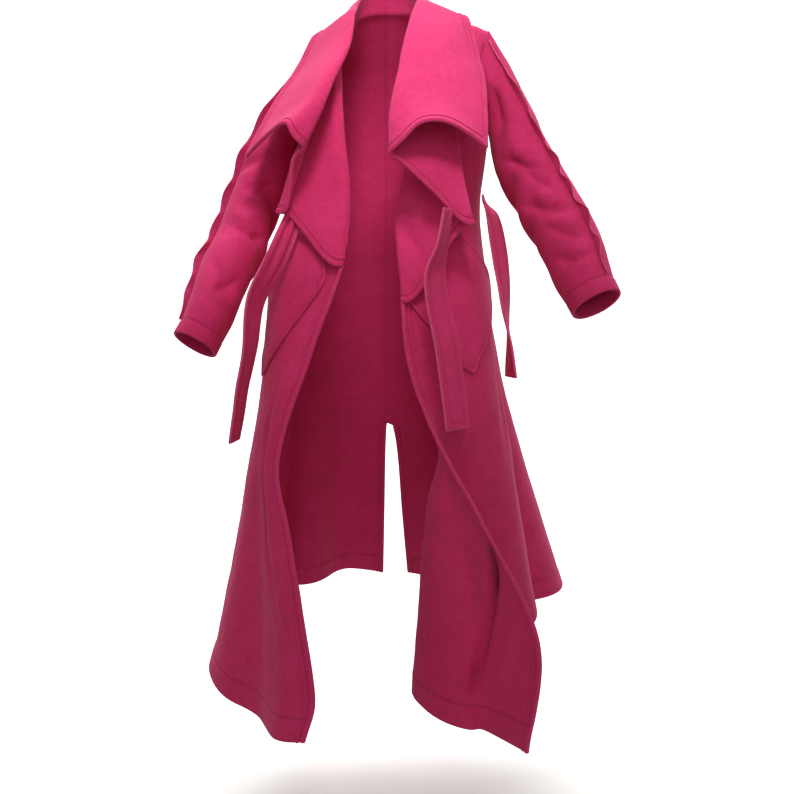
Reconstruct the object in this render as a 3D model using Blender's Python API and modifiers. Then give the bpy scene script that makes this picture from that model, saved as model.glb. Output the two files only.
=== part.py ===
"""Wool wrap coat: long waterfall fronts with a grown-on shawl collar, open and hollow as it is worn.

Metres, +Z up. The front faces -Y and the wearer's left is +X. The origin is at the base of the neck, where the
shoulders carry the coat. Tables give places as out (away from the middle), fore (towards the front) and up.
"""
import math

import bpy
import numpy as np

# ---------------------------------------------------------------- cloth and seams
WALL = 0.0030               # thick felted wool
DOUBLE_WALL = 0.0048        # two layers sewn together, as in the ties
FIN_WALL = 0.0026
SEAM_GAP = 0.0008           # where two pieces meet flat; it grows with the angle between them
SHARPEST_SEAM = 1.3         # radians: beyond this angle the gap grows no further
BACK_GAP = 0.0010           # at centre back
SHOULDER_GAP = 0.0052       # the panels slope away on both sides of the shoulder seam
NECK_GAP = 0.0016
ARMHOLE_GAP_TOP = 0.0020    # the sleeve stands clear of the armhole's edge
ARMHOLE_GAP_BOTTOM = 0.0045
POCKET_GAP = 0.0022         # between a panel and the patch sewn on it

# ---------------------------------------------------------------- fineness of the sheets
BODY_SPANS = (4, 4, 4, 3)   # steps in each span between the side seam and the first fold
LAYER_STEPS = 2             # steps in each span of the cascade and the collar
UPPER_ROWS = 3              # rows between two rows of the tables
LOWER_ROWS = 2
COLLAR_ROWS = 6
BACK_COLUMNS = 12
NECK_COLUMNS = 4            # of those, the ones along the neck seam
SLEEVE_AROUND = 18
SLEEVE_ROWS = 4

# ---------------------------------------------------------------- fronts, shoulder to hanging edge
# The rows go from the shoulder seam (0) down to the free edge of the cascade (1).
UPPER = (0.0, 0.25, 0.5, 0.75, 1.0)
ARMHOLE_ROW = 0.25          # the row across the middle of the armhole
UNDERARM_ROW = 0.5
ROUND_ROW = 0.08            # just below the shoulder seam, where the cloth rounds over the shoulder
ROUND_SHARE = 0.26          # how far that row is on its way to the next
FRONT_ROUND = ((0, 0.008), (6, 0.011), (15, 0.011), (27, 0.006))   # column and how much it stands up
BACK_ROUND = ((0, 0.010), (4, 0.012), (12, 0.008))
FOLD_REACH = (0.004, 0.010, 0.018, 0.022, 0.024)    # how far from its tip a fold starts to turn
FOLD_DEPTH = (0.004, 0.011, 0.017, 0.020, 0.022)    # between the two layers that meet in a fold

# Each rail is a list of (out, fore, up), one for each row of UPPER.
RAILS = {
    "left": {
        "side": ((0.179, 0.035, -0.056), (0.158, 0.062, -0.132), (0.178, 0.015, -0.225),
                 (0.166, 0.000, -0.365), (0.182, 0.000, -0.500)),
        "fold_low": ((0.104, 0.020, -0.030), (0.085, 0.095, -0.120), (0.046, 0.125, -0.240),
                     (0.014, 0.150, -0.375), (0.022, 0.185, -0.516)),
        "fold_out": ((0.085, 0.016, -0.026), (0.100, 0.108, -0.100), (0.115, 0.138, -0.190),
                     (0.128, 0.168, -0.290), (0.148, 0.205, -0.392)),
        "roll": ((0.058, 0.028, -0.008), (0.035, 0.100, -0.073), (0.018, 0.155, -0.150),
                 (0.004, 0.198, -0.216), (0.002, 0.235, -0.280)),
        "edge": ((0.138, 0.032, -0.036), (0.150, 0.074, -0.086), (0.162, 0.115, -0.150),
                 (0.164, 0.164, -0.215), (0.162, 0.200, -0.271)),
    },
    "right": {
        "side": ((0.152, -0.045, -0.087), (0.132, -0.008, -0.160), (0.148, -0.035, -0.248),
                 (0.166, -0.012, -0.365), (0.200, 0.000, -0.490)),
        "fold_low": ((0.090, -0.012, -0.044), (0.072, 0.076, -0.134), (0.066, 0.118, -0.222),
                     (0.052, 0.152, -0.334), (0.064, 0.184, -0.458)),
        "fold_out": ((0.080, -0.006, -0.036), (0.090, 0.078, -0.114), (0.118, 0.114, -0.190),
                     (0.152, 0.138, -0.273), (0.181, 0.165, -0.372)),
        "roll": ((0.050, 0.020, -0.020), (0.055, 0.090, -0.090), (0.076, 0.145, -0.154),
                 (0.097, 0.182, -0.214), (0.122, 0.205, -0.268)),
        "edge": ((0.122, -0.022, -0.055), (0.152, 0.020, -0.120), (0.184, 0.056, -0.174),
                 (0.207, 0.093, -0.228), (0.229, 0.128, -0.279)),
    },
}
# Where the seam's own points lie along the shoulder line, from its tip (0) to the neck (1).
SHOULDER_PLACES = (0.0, 0.26, 0.48, 0.60, 0.67, 0.73, 0.79, 0.85, 0.90, 0.95, 1.0)
NECK_POINT = {"left": (0.066, 0.010, -0.036), "right": (0.060, -0.004, -0.048)}
BUST = (0.0, 0.006, 0.012, 0.004, 0.002)            # fullness of the chest between side and first fold
# How far the collar's middle stands above its ends, row by row, and how far it bows forward.
COLLAR_ARCH = {"left": (0.002, 0.010, 0.014, 0.020, 0.046), "right": (0.002, 0.009, 0.010, 0.016, 0.044)}
COLLAR_SWELL = {"left": (0.000, 0.012, 0.018, 0.020, 0.022), "right": (0.000, 0.010, 0.016, 0.020, 0.022)}
# Its two inner points: share of the way, share of the bow.
COLLAR_SHARES = {"left": ((0.36, 1.0), (0.72, 0.8)), "right": ((0.30, 1.0), (0.64, 0.58))}
STAND_SHARE = 0.55          # where the collar's stand lies between the neck and the roll
TURN_SHARE = 0.14           # where the collar has turned over, on its way to its edge
TURN_UP = 0.003
# The two points that round the chest between side seam and first fold, as shares of (out, fore, up).
CHEST_SHARES = ((0.04, 0.50, 0.25), (0.42, 0.90, 0.55))
FOLD_SPAN = 3.5             # parameter of the first fold along a row
NECK_SPAN = 9.5             # parameter of the neck point along the shoulder line

# The collar at centre back: neck seam, stand, roll, turn, fall and outer edge, as (fore, up).
COLLAR_BACK = ((-0.060, -0.010), (-0.066, 0.012), (-0.074, 0.036), (-0.090, 0.034),
               (-0.104, 0.010), (-0.120, -0.022), (-0.136, -0.062))

# ---------------------------------------------------------------- fronts, below the cascade
# Each row: its place, the height at the side seam and at the free edge, then (out, fore) of each named column.
HEM_SAG = {"left": 0.040, "right": 0.030}           # how far a front's hem hangs below the line of its ends
HEM_LEAN = 1.5              # above 1 it hangs lowest nearer the free edge
LOWER_LEFT = {
    "columns": ("side", "ridge", "hidden", "behind", "crest_back", "crest", "crest_front", "pleat", "recess",
                "edge"),
    "rows": (
        (1.17, -0.592, -0.620, (0.190, 0.000), (0.194, 0.058), (0.170, 0.116), (0.130, 0.155), (0.100, 0.172),
         (0.080, 0.180), (0.066, 0.186), (0.056, 0.194), (0.048, 0.200), (0.040, 0.206)),
        (1.34, -0.695, -0.737, (0.202, -0.020), (0.212, 0.040), (0.196, 0.100), (0.160, 0.145), (0.120, 0.175),
         (0.098, 0.196), (0.088, 0.208), (0.084, 0.216), (0.083, 0.226), (0.084, 0.240)),
        (1.52, -0.808, -0.859, (0.222, -0.045), (0.234, 0.020), (0.214, 0.080), (0.160, 0.125), (0.105, 0.150),
         (0.066, 0.176), (0.084, 0.214), (0.106, 0.230), (0.124, 0.240), (0.152, 0.282)),
        (1.77, -0.960, -1.042, (0.252, -0.075), (0.264, -0.005), (0.228, 0.055), (0.150, 0.085), (0.088, 0.110),
         (0.050, 0.152), (0.078, 0.210), (0.130, 0.246), (0.152, 0.232), (0.240, 0.335)),
        (2.00, -1.107, -1.198, (0.283, -0.100), (0.294, -0.035), (0.240, 0.030), (0.148, 0.062), (0.078, 0.092),
         (0.038, 0.144), (0.078, 0.226), (0.140, 0.274), (0.162, 0.252), (0.219, 0.380)),
    ),
}
LOWER_RIGHT = {
    "columns": ("side", "turn", "flute", "flank", "hollow", "ridge_out", "ridge", "edge"),
    "rows": (
        (1.17, -0.595, -0.612, (0.203, 0.000), (0.208, 0.040), (0.204, 0.090), (0.190, 0.126), (0.176, 0.150),
         (0.162, 0.168), (0.147, 0.182), (0.125, 0.192)),
        (1.36, -0.725, -0.775, (0.218, -0.010), (0.231, 0.036), (0.230, 0.086), (0.220, 0.124), (0.208, 0.150),
         (0.200, 0.172), (0.190, 0.198), (0.175, 0.208)),
        (1.55, -0.860, -0.901, (0.236, -0.028), (0.253, 0.024), (0.255, 0.080), (0.238, 0.122), (0.212, 0.148),
         (0.200, 0.188), (0.180, 0.228), (0.155, 0.240)),
        (1.75, -0.990, -1.022, (0.252, -0.050), (0.274, 0.006), (0.282, 0.068), (0.262, 0.124), (0.214, 0.158),
         (0.192, 0.214), (0.166, 0.268), (0.132, 0.280)),
        (1.90, -1.085, -1.144, (0.264, -0.066), (0.294, -0.006), (0.306, 0.066), (0.278, 0.138), (0.216, 0.174),
         (0.190, 0.238), (0.158, 0.298), (0.113, 0.308)),
        (2.00, -1.150, -1.208, (0.276, -0.078), (0.310, -0.014), (0.326, 0.064), (0.286, 0.146), (0.218, 0.184),
         (0.194, 0.250), (0.170, 0.308), (0.128, 0.320)),
    ),
}

# ---------------------------------------------------------------- backs
# Rows that match those of the fronts down to the hip: place, fore and height at the centre-back seam.
BACK_ROWS = ((0.25, -0.112, -0.120), (0.5, -0.122, -0.225), (0.75, -0.104, -0.365), (1.0, -0.130, -0.500))
BACK_SQUARENESS = 0.82      # below 1 the back is flatter than a true oval
ARMHOLE_BACK = (-0.006, -0.062, 0.0)                # from the armhole's front edge to its back edge
BACK_LOWER_ROWS = (1.17, 1.34, 1.52, 1.77, 2.0)
VENT_TOP = 1.45             # row at which the centre-back seam ends and the vent opens
# The hem from the vent to the side seam, as (out, fore).
BACK_HEM = {
    "left": ((0.045, -0.300), (0.090, -0.262), (0.140, -0.262), (0.180, -0.350), (0.240, -0.330),
             (0.290, -0.220), (0.372, -0.290), (0.352, -0.170), (0.292, -0.150)),
    "right": ((0.012, -0.300), (0.060, -0.330), (0.105, -0.330), (0.140, -0.230), (0.190, -0.220),
              (0.235, -0.290), (0.290, -0.240), (0.282, -0.160), (0.272, -0.120)),
}
BACK_HEM_UP = -1.108
BACK_EASE = 1.15            # the flutes grow slowly at first

# ---------------------------------------------------------------- sleeves
# Stations down the arm: out, fore, up, half width and half depth.
SLEEVES = {
    "left": ((0.238, 0.045, -0.278, 0.050, 0.060),
             (0.271, 0.072, -0.348, 0.054, 0.057), (0.309, 0.108, -0.416, 0.052, 0.055),
             (0.331, 0.140, -0.480, 0.046, 0.052), (0.349, 0.160, -0.522, 0.041, 0.050)),
    "right": ((0.201, -0.020, -0.272, 0.041, 0.058), (0.228, 0.000, -0.344, 0.044, 0.056),
              (0.249, 0.030, -0.415, 0.046, 0.053),
              (0.280, 0.080, -0.484, 0.042, 0.051), (0.301, 0.118, -0.551, 0.038, 0.049),
              (0.320, 0.134, -0.590, 0.037, 0.048)),
}
# Creases round the elbow and above the cuff: place down the sleeve (0 to 1), angle round it, depth, width.
SLEEVE_CREASES = ((0.42, 150.0, 0.006, 0.05), (0.52, 190.0, 0.008, 0.05), (0.62, 165.0, 0.006, 0.04),
                  (0.82, 120.0, 0.005, 0.04))
CREASE_SPREAD = 70.0        # degrees round the sleeve
CREASE_SLANT = 0.0016       # of the sleeve's length for each degree
FIN_HEIGHT = 0.010
FIN_WAVE = 0.0028
FIN_WAVES = 6.5
FIN_BEND = 4                # how soon below the armhole a raised seam reaches its line
# Angle of each raised seam round the sleeve at the armhole and at the cuff (0 outside, 90 in front), and its gap.
FINS = {
    "left": {"front": (14.0, 62.0, 0.0013), "back": (-14.0, -30.0, 0.0015)},
    "right": {"front": (14.0, 18.0, 0.0019), "back": (-14.0, -42.0, 0.0015)},
}

# ---------------------------------------------------------------- pockets and ties
# Pocket outline over the front: place across (0 side seam, 1 first fold), top row and bottom row.
POCKETS = {
    "left": ((0.86, 0.91, 1.00), (0.73, 0.86, 1.05), (0.56, 0.83, 1.10), (0.40, 0.82, 1.165), (0.28, 0.87, 1.215),
             (0.16, 0.92, 1.13), (0.06, 0.96, 1.02)),
    "right": ((0.80, 1.03, 1.05), (0.70, 0.98, 1.10), (0.59, 0.92, 1.14), (0.46, 0.88, 1.18), (0.32, 0.88, 1.225),
              (0.18, 0.92, 1.18), (0.08, 0.96, 1.06)),
}
POCKET_ACROSS = 14
POCKET_DOWN = 8

TIE_WIDTH = 0.044
TIE_STEPS = 22
# Centre lines of the ties as (x, y, z, turn), the turn in degrees of the flat side away from the front.
TIES = {
    "tie_right": ((-0.1488, -0.1506, -0.374, 12.0), (-0.174, -0.1724, -0.440, 34.0),
                  (-0.209, -0.183, -0.512, 58.0), (-0.222, -0.175, -0.590, 68.0),
                  (-0.238, -0.170, -0.668, 74.0), (-0.252, -0.166, -0.750, 77.0)),
    "tie_left_front": ((0.100, -0.238, -0.372, 70.0), (0.092, -0.238, -0.420, 66.0),
                       (0.080, -0.234, -0.480, 45.0), (0.100, -0.240, -0.590, 36.0),
                       (0.117, -0.250, -0.716, 34.0)),
    "tie_left_side": ((0.1745, 0.012, -0.342, 90.0), (0.190, 0.002, -0.372, 60.0), (0.203, -0.006, -0.440, 52.0),
                      (0.213, -0.010, -0.521, 66.0), (0.222, -0.010, -0.600, 92.0), (0.226, -0.010, -0.658, 108.0)),
}

PINK = (0.72, 0.035, 0.17, 1.0)
PINK_SHADE = (0.66, 0.030, 0.15, 1.0)
WOOL_ROUGHNESS = 0.92

SIGN = {"left": 1.0, "right": -1.0}


# ================================================================ curves and sheets
def clear_scene():
    """Start from an empty scene."""
    for item in list(bpy.data.objects):
        bpy.data.objects.remove(item, do_unlink=True)


def span_parameters(spans, steps):
    """Parameters of a soft polygon: steps[i] even steps in span i."""
    values = [0.0]
    for span in range(spans):
        count = steps[span]
        values.extend(span + (k + 1) / count for k in range(count))
    return np.array(values)


def soft_polygon(points, parameters):
    """Quadratic B-spline that starts and ends on its polygon; one unit of parameter for each span."""
    points = np.asarray(points, float)
    spans = len(points) - 2
    knots = np.concatenate([[0.0, 0.0], np.arange(spans + 1), [spans, spans]])
    result = []
    for value in parameters:
        value = min(max(value, 0.0), spans - 1e-9)
        k = int(value) + 2
        a, b, c = points[k - 2], points[k - 1], points[k]
        left = (value - knots[k - 1]) / (knots[k + 1] - knots[k - 1])
        right = (value - knots[k]) / (knots[k + 2] - knots[k])
        first = a + (b - a) * left
        second = b + (c - b) * right
        blend = (value - knots[k]) / (knots[k + 1] - knots[k])
        result.append(first + (second - first) * blend)
    return np.array(result)


def smooth_rows(places, rows, wanted):
    """Rows of points joined smoothly: a Hermite curve with the slope of the neighbours at each row."""
    places = np.asarray(places, float)
    rows = np.asarray(rows, float)
    slopes = np.empty_like(rows)
    for i in range(len(places)):
        low = max(i - 1, 0)
        high = min(i + 1, len(places) - 1)
        slopes[i] = (rows[high] - rows[low]) / (places[high] - places[low])
    result = []
    for place in wanted:
        i = int(np.clip(np.searchsorted(places, place, side="right") - 1, 0, len(places) - 2))
        length = places[i + 1] - places[i]
        t = (place - places[i]) / length
        result.append((2 * t**3 - 3 * t**2 + 1) * rows[i] + (t**3 - 2 * t**2 + t) * length * slopes[i]
                      + (3 * t**2 - 2 * t**3) * rows[i + 1] + (t**3 - t**2) * length * slopes[i + 1])
    return np.array(result)


def even_steps(places, count):
    """Every place in a rising list, with count steps from each to the next."""
    wanted = [places[0]]
    for low, high in zip(places[:-1], places[1:]):
        wanted.extend(low + (high - low) * (k + 1) / count for k in range(count))
    return wanted


def by_length(line, count):
    """Points spaced evenly along a line."""
    line = np.asarray(line, float)
    lengths = np.concatenate([[0.0], np.cumsum(np.linalg.norm(np.diff(line, axis=0), axis=1))])
    wanted = np.linspace(0.0, lengths[-1], count)
    return np.stack([np.interp(wanted, lengths, line[:, k]) for k in range(3)], axis=1)


def world(points, side):
    """Turn (out, fore, up) into x, y and z on one side of the coat."""
    points = np.asarray(points, float)
    return np.stack([SIGN[side] * points[..., 0], -points[..., 1], points[..., 2]], axis=-1)


# ================================================================ fronts
def front_section(side, row):
    """The front's polygon at one row of UPPER, from the side seam to the collar's outer edge."""
    rails = RAILS[side]
    seam, low, out, roll, edge = (np.array(rails[name][row]) for name in
                                  ("side", "fold_low", "fold_out", "roll", "edge"))
    arch = np.array((0.0, COLLAR_SWELL[side][row], COLLAR_ARCH[side][row]))
    fall = [roll + (edge - roll) * share + arch * bow for share, bow in COLLAR_SHARES[side]]
    if row == 0:
        neck = np.array(NECK_POINT[side])
        line = [seam + (neck - seam) * place for place in SHOULDER_PLACES]
        stand = neck + (roll - neck) * STAND_SHARE
        turn = roll + (edge - roll) * TURN_SHARE + np.array((0.0, 0.0, TURN_UP))
        return line + [stand, roll, turn] + fall + [edge]
    reach = np.array((FOLD_REACH[row], 0.0, 0.0))
    depth = np.array((0.0, FOLD_DEPTH[row] / 2, 0.0))
    chest = low + reach - depth
    across = chest - seam
    first = seam + across * np.array(CHEST_SHARES[0])
    second = seam + across * np.array(CHEST_SHARES[1]) + np.array((0.0, BUST[row], 0.0))
    points = [seam, first, second, chest, low, low + reach + depth]
    points += [(low + out) / 2, out - reach - depth, out, out - reach + depth]
    points += [(out + roll) / 2, roll + reach - depth, roll, roll + reach + depth]
    return points + fall + [edge]


def lower_section(side, row):
    """The front's polygon at one row below the cascade, from the side seam to the free edge."""
    place, side_up, edge_up = row[:3]
    flat = np.array(row[3:])
    lengths = np.concatenate([[0.0], np.cumsum(np.linalg.norm(np.diff(flat, axis=0), axis=1))])
    shares = lengths / lengths[-1]
    sag = HEM_SAG[side] * (place - 1.0) ** 2 * np.sin(math.pi * shares ** HEM_LEAN)
    heights = side_up + (edge_up - side_up) * shares - sag
    return np.column_stack([flat, heights])


def collar_place(row, start, back):
    """A point of the collar between the shoulder line (row 0) and centre back (row -1), on a quarter round."""
    angle = -row * math.pi / 2
    out = start[0] * math.cos(angle) + BACK_GAP / 2 * math.sin(angle)
    fore = start[1] + (back[0] - start[1]) * math.sin(angle)
    up = start[2] + (back[1] - start[2]) * math.sin(angle)
    return out, fore, up


def rounded(seam, below, lifts):
    """The row just below the shoulder seam, lifted to round the shoulder."""
    row = seam + (below - seam) * ROUND_SHARE
    columns, heights = zip(*lifts)
    row[:, 2] += np.interp(np.arange(len(row)), columns, heights)
    return row


def front_grid(side):
    """All rows of one front. Returns their places, the points and the columns of first fold and neck."""
    spans = len(SHOULDER_PLACES) + 6 - 2
    steps = list(BODY_SPANS) + [LAYER_STEPS] * (spans - len(BODY_SPANS))
    parameters = span_parameters(spans, steps)
    fold_column = int(np.argmin(abs(parameters - FOLD_SPAN)))
    neck_column = int(np.argmin(abs(parameters - NECK_SPAN)))
    sections = [soft_polygon(front_section(side, row), parameters) for row in range(len(UPPER))]
    over = rounded(sections[0], sections[1], FRONT_ROUND)
    upper_places = [UPPER[0], ROUND_ROW] + list(UPPER[1:])
    upper_knots = [sections[0], over] + sections[1:]
    table = LOWER_LEFT if side == "left" else LOWER_RIGHT
    lower_parameters = np.linspace(0.0, len(table["columns"]) - 2, fold_column + 1)
    lower_knots = [soft_polygon(lower_section(side, row), lower_parameters) for row in table["rows"]]
    lower_places = [row[0] for row in table["rows"]]
    body_places = upper_places + lower_places
    body_knots = [knot[:fold_column + 1] for knot in upper_knots] + lower_knots
    upper_wanted = even_steps(upper_places, UPPER_ROWS)
    lower_wanted = even_steps([1.0] + lower_places, LOWER_ROWS)[1:]
    body = smooth_rows(body_places, body_knots, upper_wanted + lower_wanted)
    layers = smooth_rows(upper_places, upper_knots, upper_wanted)
    columns = len(parameters)
    collar_wanted = [-(COLLAR_ROWS - k) / COLLAR_ROWS for k in range(COLLAR_ROWS)]
    places = collar_wanted + upper_wanted + lower_wanted
    points = np.full((len(places), columns, 3), np.nan)
    first = len(collar_wanted)
    points[first:first + len(upper_wanted)] = layers
    points[first:, :fold_column + 1] = body
    back_steps = parameters[neck_column:] - parameters[neck_column]
    back_line = soft_polygon(COLLAR_BACK, back_steps / back_steps[-1] * (len(COLLAR_BACK) - 2))
    for index, row in enumerate(collar_wanted):
        for column in range(neck_column, columns):
            start = sections[0][column]
            points[index, column] = collar_place(row, start, back_line[column - neck_column])
    return places, points, fold_column, neck_column


def half_gap(place, first_step, second_step):
    """Half the gap at a side seam: two walls that meet at an angle need more room at their inner edges."""
    if place < UNDERARM_ROW:
        return SEAM_GAP / 2
    cosine = -(first_step @ second_step) / (np.linalg.norm(first_step) * np.linalg.norm(second_step))
    angle = min(math.acos(np.clip(cosine, -1.0, 1.0)), SHARPEST_SEAM)
    return SEAM_GAP / 2 + WALL / 2 * math.tan(angle / 2)


def trim_front(front, back):
    """Pull the front's seam edges back by half a seam gap."""
    places, points, _, neck_column = front
    trimmed = points.copy()
    top = places.index(0.0)
    for row in range(top, len(places)):
        front_step = points[row, 1] - points[row, 0]
        back_step = back[1][row - top, -2] - back[1][row - top, -1]
        pull(trimmed, (row, 0), (row, 1), half_gap(places[row], front_step, back_step))
    for column in range(neck_column):
        pull(trimmed, (top, column), (top + 1, column), SHOULDER_GAP / 2)
    for row in range(top):
        pull(trimmed, (row, neck_column), (row, neck_column + 1), NECK_GAP / 2)
    return trimmed


def pull(grid, place, towards, distance):
    """Move one point of a grid towards another."""
    step = grid[towards] - grid[place]
    grid[place] = grid[place] + step / np.linalg.norm(step) * distance


# ================================================================ backs
def back_grid(side, front):
    """One back half, whose edges are the front's own seams and the collar's neck seam."""
    places, points, fold_column, neck_column = front
    top = places.index(0.0)
    neck = points[:top + 1, neck_column]
    shoulder = points[top, :neck_column + 1][::-1]
    first = np.concatenate([by_length(neck, NECK_COLUMNS + 1),
                            by_length(shoulder, BACK_COLUMNS - NECK_COLUMNS + 1)[1:]])
    seams = {place: points[row, 0] for row, place in enumerate(places) if place >= 0.0}
    seam_places = sorted(seams)
    seam_line = np.array([seams[place] for place in seam_places])
    rounds = np.linspace(0.0, math.pi / 2, BACK_COLUMNS + 1)
    knots = [first]
    knot_places = [0.0]
    for place, fore, up in BACK_ROWS:
        seam = np.array([np.interp(place, seam_places, seam_line[:, k]) for k in range(3)])
        if place == ARMHOLE_ROW:
            seam = seam + np.array(ARMHOLE_BACK)
        out = BACK_GAP / 2 + (seam[0] - BACK_GAP / 2) * np.sin(rounds) ** BACK_SQUARENESS
        depth = seam[1] + (fore - seam[1]) * np.cos(rounds) ** BACK_SQUARENESS
        height = up + (seam[2] - up) * (rounds / rounds[-1]) ** 2
        knots.append(np.column_stack([out, depth, height]))
        knot_places.append(place)
    knots.insert(1, rounded(knots[0], knots[1], BACK_ROUND))
    knot_places.insert(1, ROUND_ROW)
    hem_flat = np.array(BACK_HEM[side])
    hem = soft_polygon(np.column_stack([hem_flat, np.full(len(hem_flat), BACK_HEM_UP)]),
                       np.linspace(0.0, len(hem_flat) - 2, BACK_COLUMNS + 1))
    hip = knots[-1]
    for place in BACK_LOWER_ROWS:
        ease = (place - 1.0) ** BACK_EASE
        row = hip + (hem - hip) * ease
        row[:, 2] = hip[:, 2] + (hem[:, 2] - hip[:, 2]) * (place - 1.0)
        seam = np.array([np.interp(place, seam_places, seam_line[:, k]) for k in range(3)])
        shift = seam - row[-1]
        weights = np.linspace(0.0, 1.0, BACK_COLUMNS + 1) ** 3
        row = row + shift * weights[:, None]
        if place <= VENT_TOP:
            row[:, 0] += (BACK_GAP / 2 - row[0, 0]) * (1.0 - np.linspace(0.0, 1.0, BACK_COLUMNS + 1)) ** 2
        knots.append(row)
        knot_places.append(place)
    wanted = seam_places
    grid = smooth_rows(knot_places, knots, wanted)
    for row, place in enumerate(wanted):
        seam = np.array([np.interp(place, seam_places, seam_line[:, k]) for k in range(3)])
        if place >= UNDERARM_ROW:
            grid[row] += (seam - grid[row, -1]) * np.linspace(0.0, 1.0, BACK_COLUMNS + 1)[:, None] ** 3
        if place <= VENT_TOP:
            grid[row, 0, 0] = BACK_GAP / 2
    return wanted, grid


def trim_back(front, back):
    """Pull the back's seam edges back by half a seam gap."""
    places, grid = back
    trimmed = grid.copy()
    top = front[0].index(0.0)
    for row in range(len(places)):
        front_step = front[1][row + top, 1] - front[1][row + top, 0]
        back_step = grid[row, -2] - grid[row, -1]
        pull(trimmed, (row, -1), (row, -2), half_gap(places[row], front_step, back_step))
    for column in range(grid.shape[1]):
        pull(trimmed, (0, column), (1, column), SHOULDER_GAP / 2)
    return trimmed


# ================================================================ sleeves
def armhole_ring(front, back, count):
    """The armhole from the shoulder down its front edge to the underarm and up its back edge."""
    places, points = front[0], front[1]
    front_line = [points[row, 0] for row, place in enumerate(places) if 0.0 <= place <= UNDERARM_ROW]
    back_line = [back[1][row, -1] for row, place in enumerate(back[0]) if place <= UNDERARM_ROW]
    half = count // 2
    return np.concatenate([by_length(front_line, half + 1)[:-1],
                           by_length(back_line[::-1], count - half + 1)[:-1]])


def sleeve_grid(side, front, back):
    """Rings from the armhole to the cuff, joined smoothly along the arm."""
    around = np.linspace(0.0, 2 * math.pi, SLEEVE_AROUND + 1)[:-1]
    ring = armhole_ring(front, back, SLEEVE_AROUND)
    away = (1.0 - np.cos(around)) / 2
    ring = ring.copy()
    ring[:, 0] += ARMHOLE_GAP_TOP + (ARMHOLE_GAP_BOTTOM - ARMHOLE_GAP_TOP) * away
    stations = np.array(SLEEVES[side])
    centres = np.vstack([ring.mean(axis=0), stations[:, :3]])
    places = np.concatenate([[0.0], np.cumsum(np.linalg.norm(np.diff(centres, axis=0), axis=1))])
    places /= places[-1]
    knots = [ring]
    for index in range(1, len(centres)):
        before = centres[index - 1]
        after = centres[min(index + 1, len(centres) - 1)]
        axis = (after - before) / np.linalg.norm(after - before)
        outward = np.array((1.0, 0.0, 0.0)) - axis * axis[0]
        outward /= np.linalg.norm(outward)
        forward = np.cross(axis, outward)
        forward *= np.sign(forward[1])
        half_width, half_depth = stations[index - 1, 3:]
        knots.append(centres[index] + np.cos(around)[:, None] * outward * half_width
                     + np.sin(around)[:, None] * forward * half_depth)
    wanted = even_steps(list(places), SLEEVE_ROWS)
    grid = smooth_rows(places, knots, wanted)
    for row, place in enumerate(wanted):
        middle = grid[row].mean(axis=0)
        for column, angle in enumerate(np.degrees(around)):
            depth = crease_depth(place, angle)
            spoke = grid[row, column] - middle
            grid[row, column] -= spoke / np.linalg.norm(spoke) * depth
    return wanted, grid


def crease_depth(place, angle):
    """How deep the creases of the sleeve are at a place down it and an angle round it."""
    total = 0.0
    for at, towards, depth, width in SLEEVE_CREASES:
        turn = (angle - towards + 180.0) % 360.0 - 180.0
        along = place - at - CREASE_SLANT * turn
        total += depth * math.exp(-(along / width) ** 2 - (turn / CREASE_SPREAD) ** 2)
    return total


def ring_point(grid, row, angle):
    """A point and the outward direction on one ring, between its own points."""
    count = grid.shape[1]
    position = (angle % 360.0) / 360.0 * count
    low = int(position) % count
    point = grid[row, low] + (grid[row, (low + 1) % count] - grid[row, low]) * (position - int(position))
    along = grid[row, (low + 1) % count] - grid[row, low]
    middle = grid[row].mean(axis=0)
    spoke = point - middle
    along /= np.linalg.norm(along)
    spoke = spoke - along * (spoke @ along)
    return point, spoke / np.linalg.norm(spoke), along


def fin_grid(places, grid, fin):
    """The raised seam allowance that stands on a lengthwise seam of the sleeve."""
    top_angle, cuff_angle, gap = fin
    base = WALL / 2 + gap
    low_line, high_line = [], []
    for row in range(1, len(places)):
        place = places[row]
        angle = cuff_angle + (top_angle - cuff_angle) * (1.0 - place) ** FIN_BEND
        point, spoke, along = ring_point(grid, row, angle)
        wave = math.sin(place * FIN_WAVES * 2 * math.pi + math.radians(angle)) * FIN_WAVE
        low_line.append(point + spoke * base)
        high_line.append(point + spoke * (base + FIN_HEIGHT) + along * wave)
    return np.stack([np.array(low_line), np.array(high_line)], axis=1)


# ================================================================ pieces laid on a panel
def grid_point(points, place, across):
    """A point of a panel's own facets, by fractional row and column."""
    row = int(min(place, points.shape[0] - 1.001))
    column = int(min(across, points.shape[1] - 1.001))
    u = place - row
    v = across - column
    top = points[row, column] * (1 - v) + points[row, column + 1] * v
    bottom = points[row + 1, column] * (1 - v) + points[row + 1, column + 1] * v
    return top * (1 - u) + bottom * u


def pocket_grid(side, front):
    """The patch pocket: the front's own points inside the pocket's outline, moved out."""
    places, points, fold_column, _ = front
    outline = np.array(POCKETS[side])
    shares = np.linspace(0.0, 1.0, POCKET_ACROSS + 1)
    stops = np.linspace(0.0, 1.0, len(outline))
    result = np.empty((POCKET_DOWN + 1, POCKET_ACROSS + 1, 3))
    for column, share in enumerate(shares):
        across, top, bottom = (np.interp(share, stops, outline[:, k]) for k in range(3))
        for row in range(POCKET_DOWN + 1):
            place = top + (bottom - top) * row / POCKET_DOWN
            index = np.interp(place, places, np.arange(len(places)))
            result[row, column] = grid_point(points, index, across * fold_column)
    return lift(result, WALL + POCKET_GAP)


def lift(grid, distance):
    """Move a grid out along its own normals (out of the coat)."""
    down = np.gradient(grid, axis=0)
    across = np.gradient(grid, axis=1)
    normal = np.cross(down, across)
    normal /= np.linalg.norm(normal, axis=2, keepdims=True)
    outward = normal[..., 1].mean() + normal[..., 0].mean()
    return grid + normal * distance * (1.0 if outward > 0 else -1.0)


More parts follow.
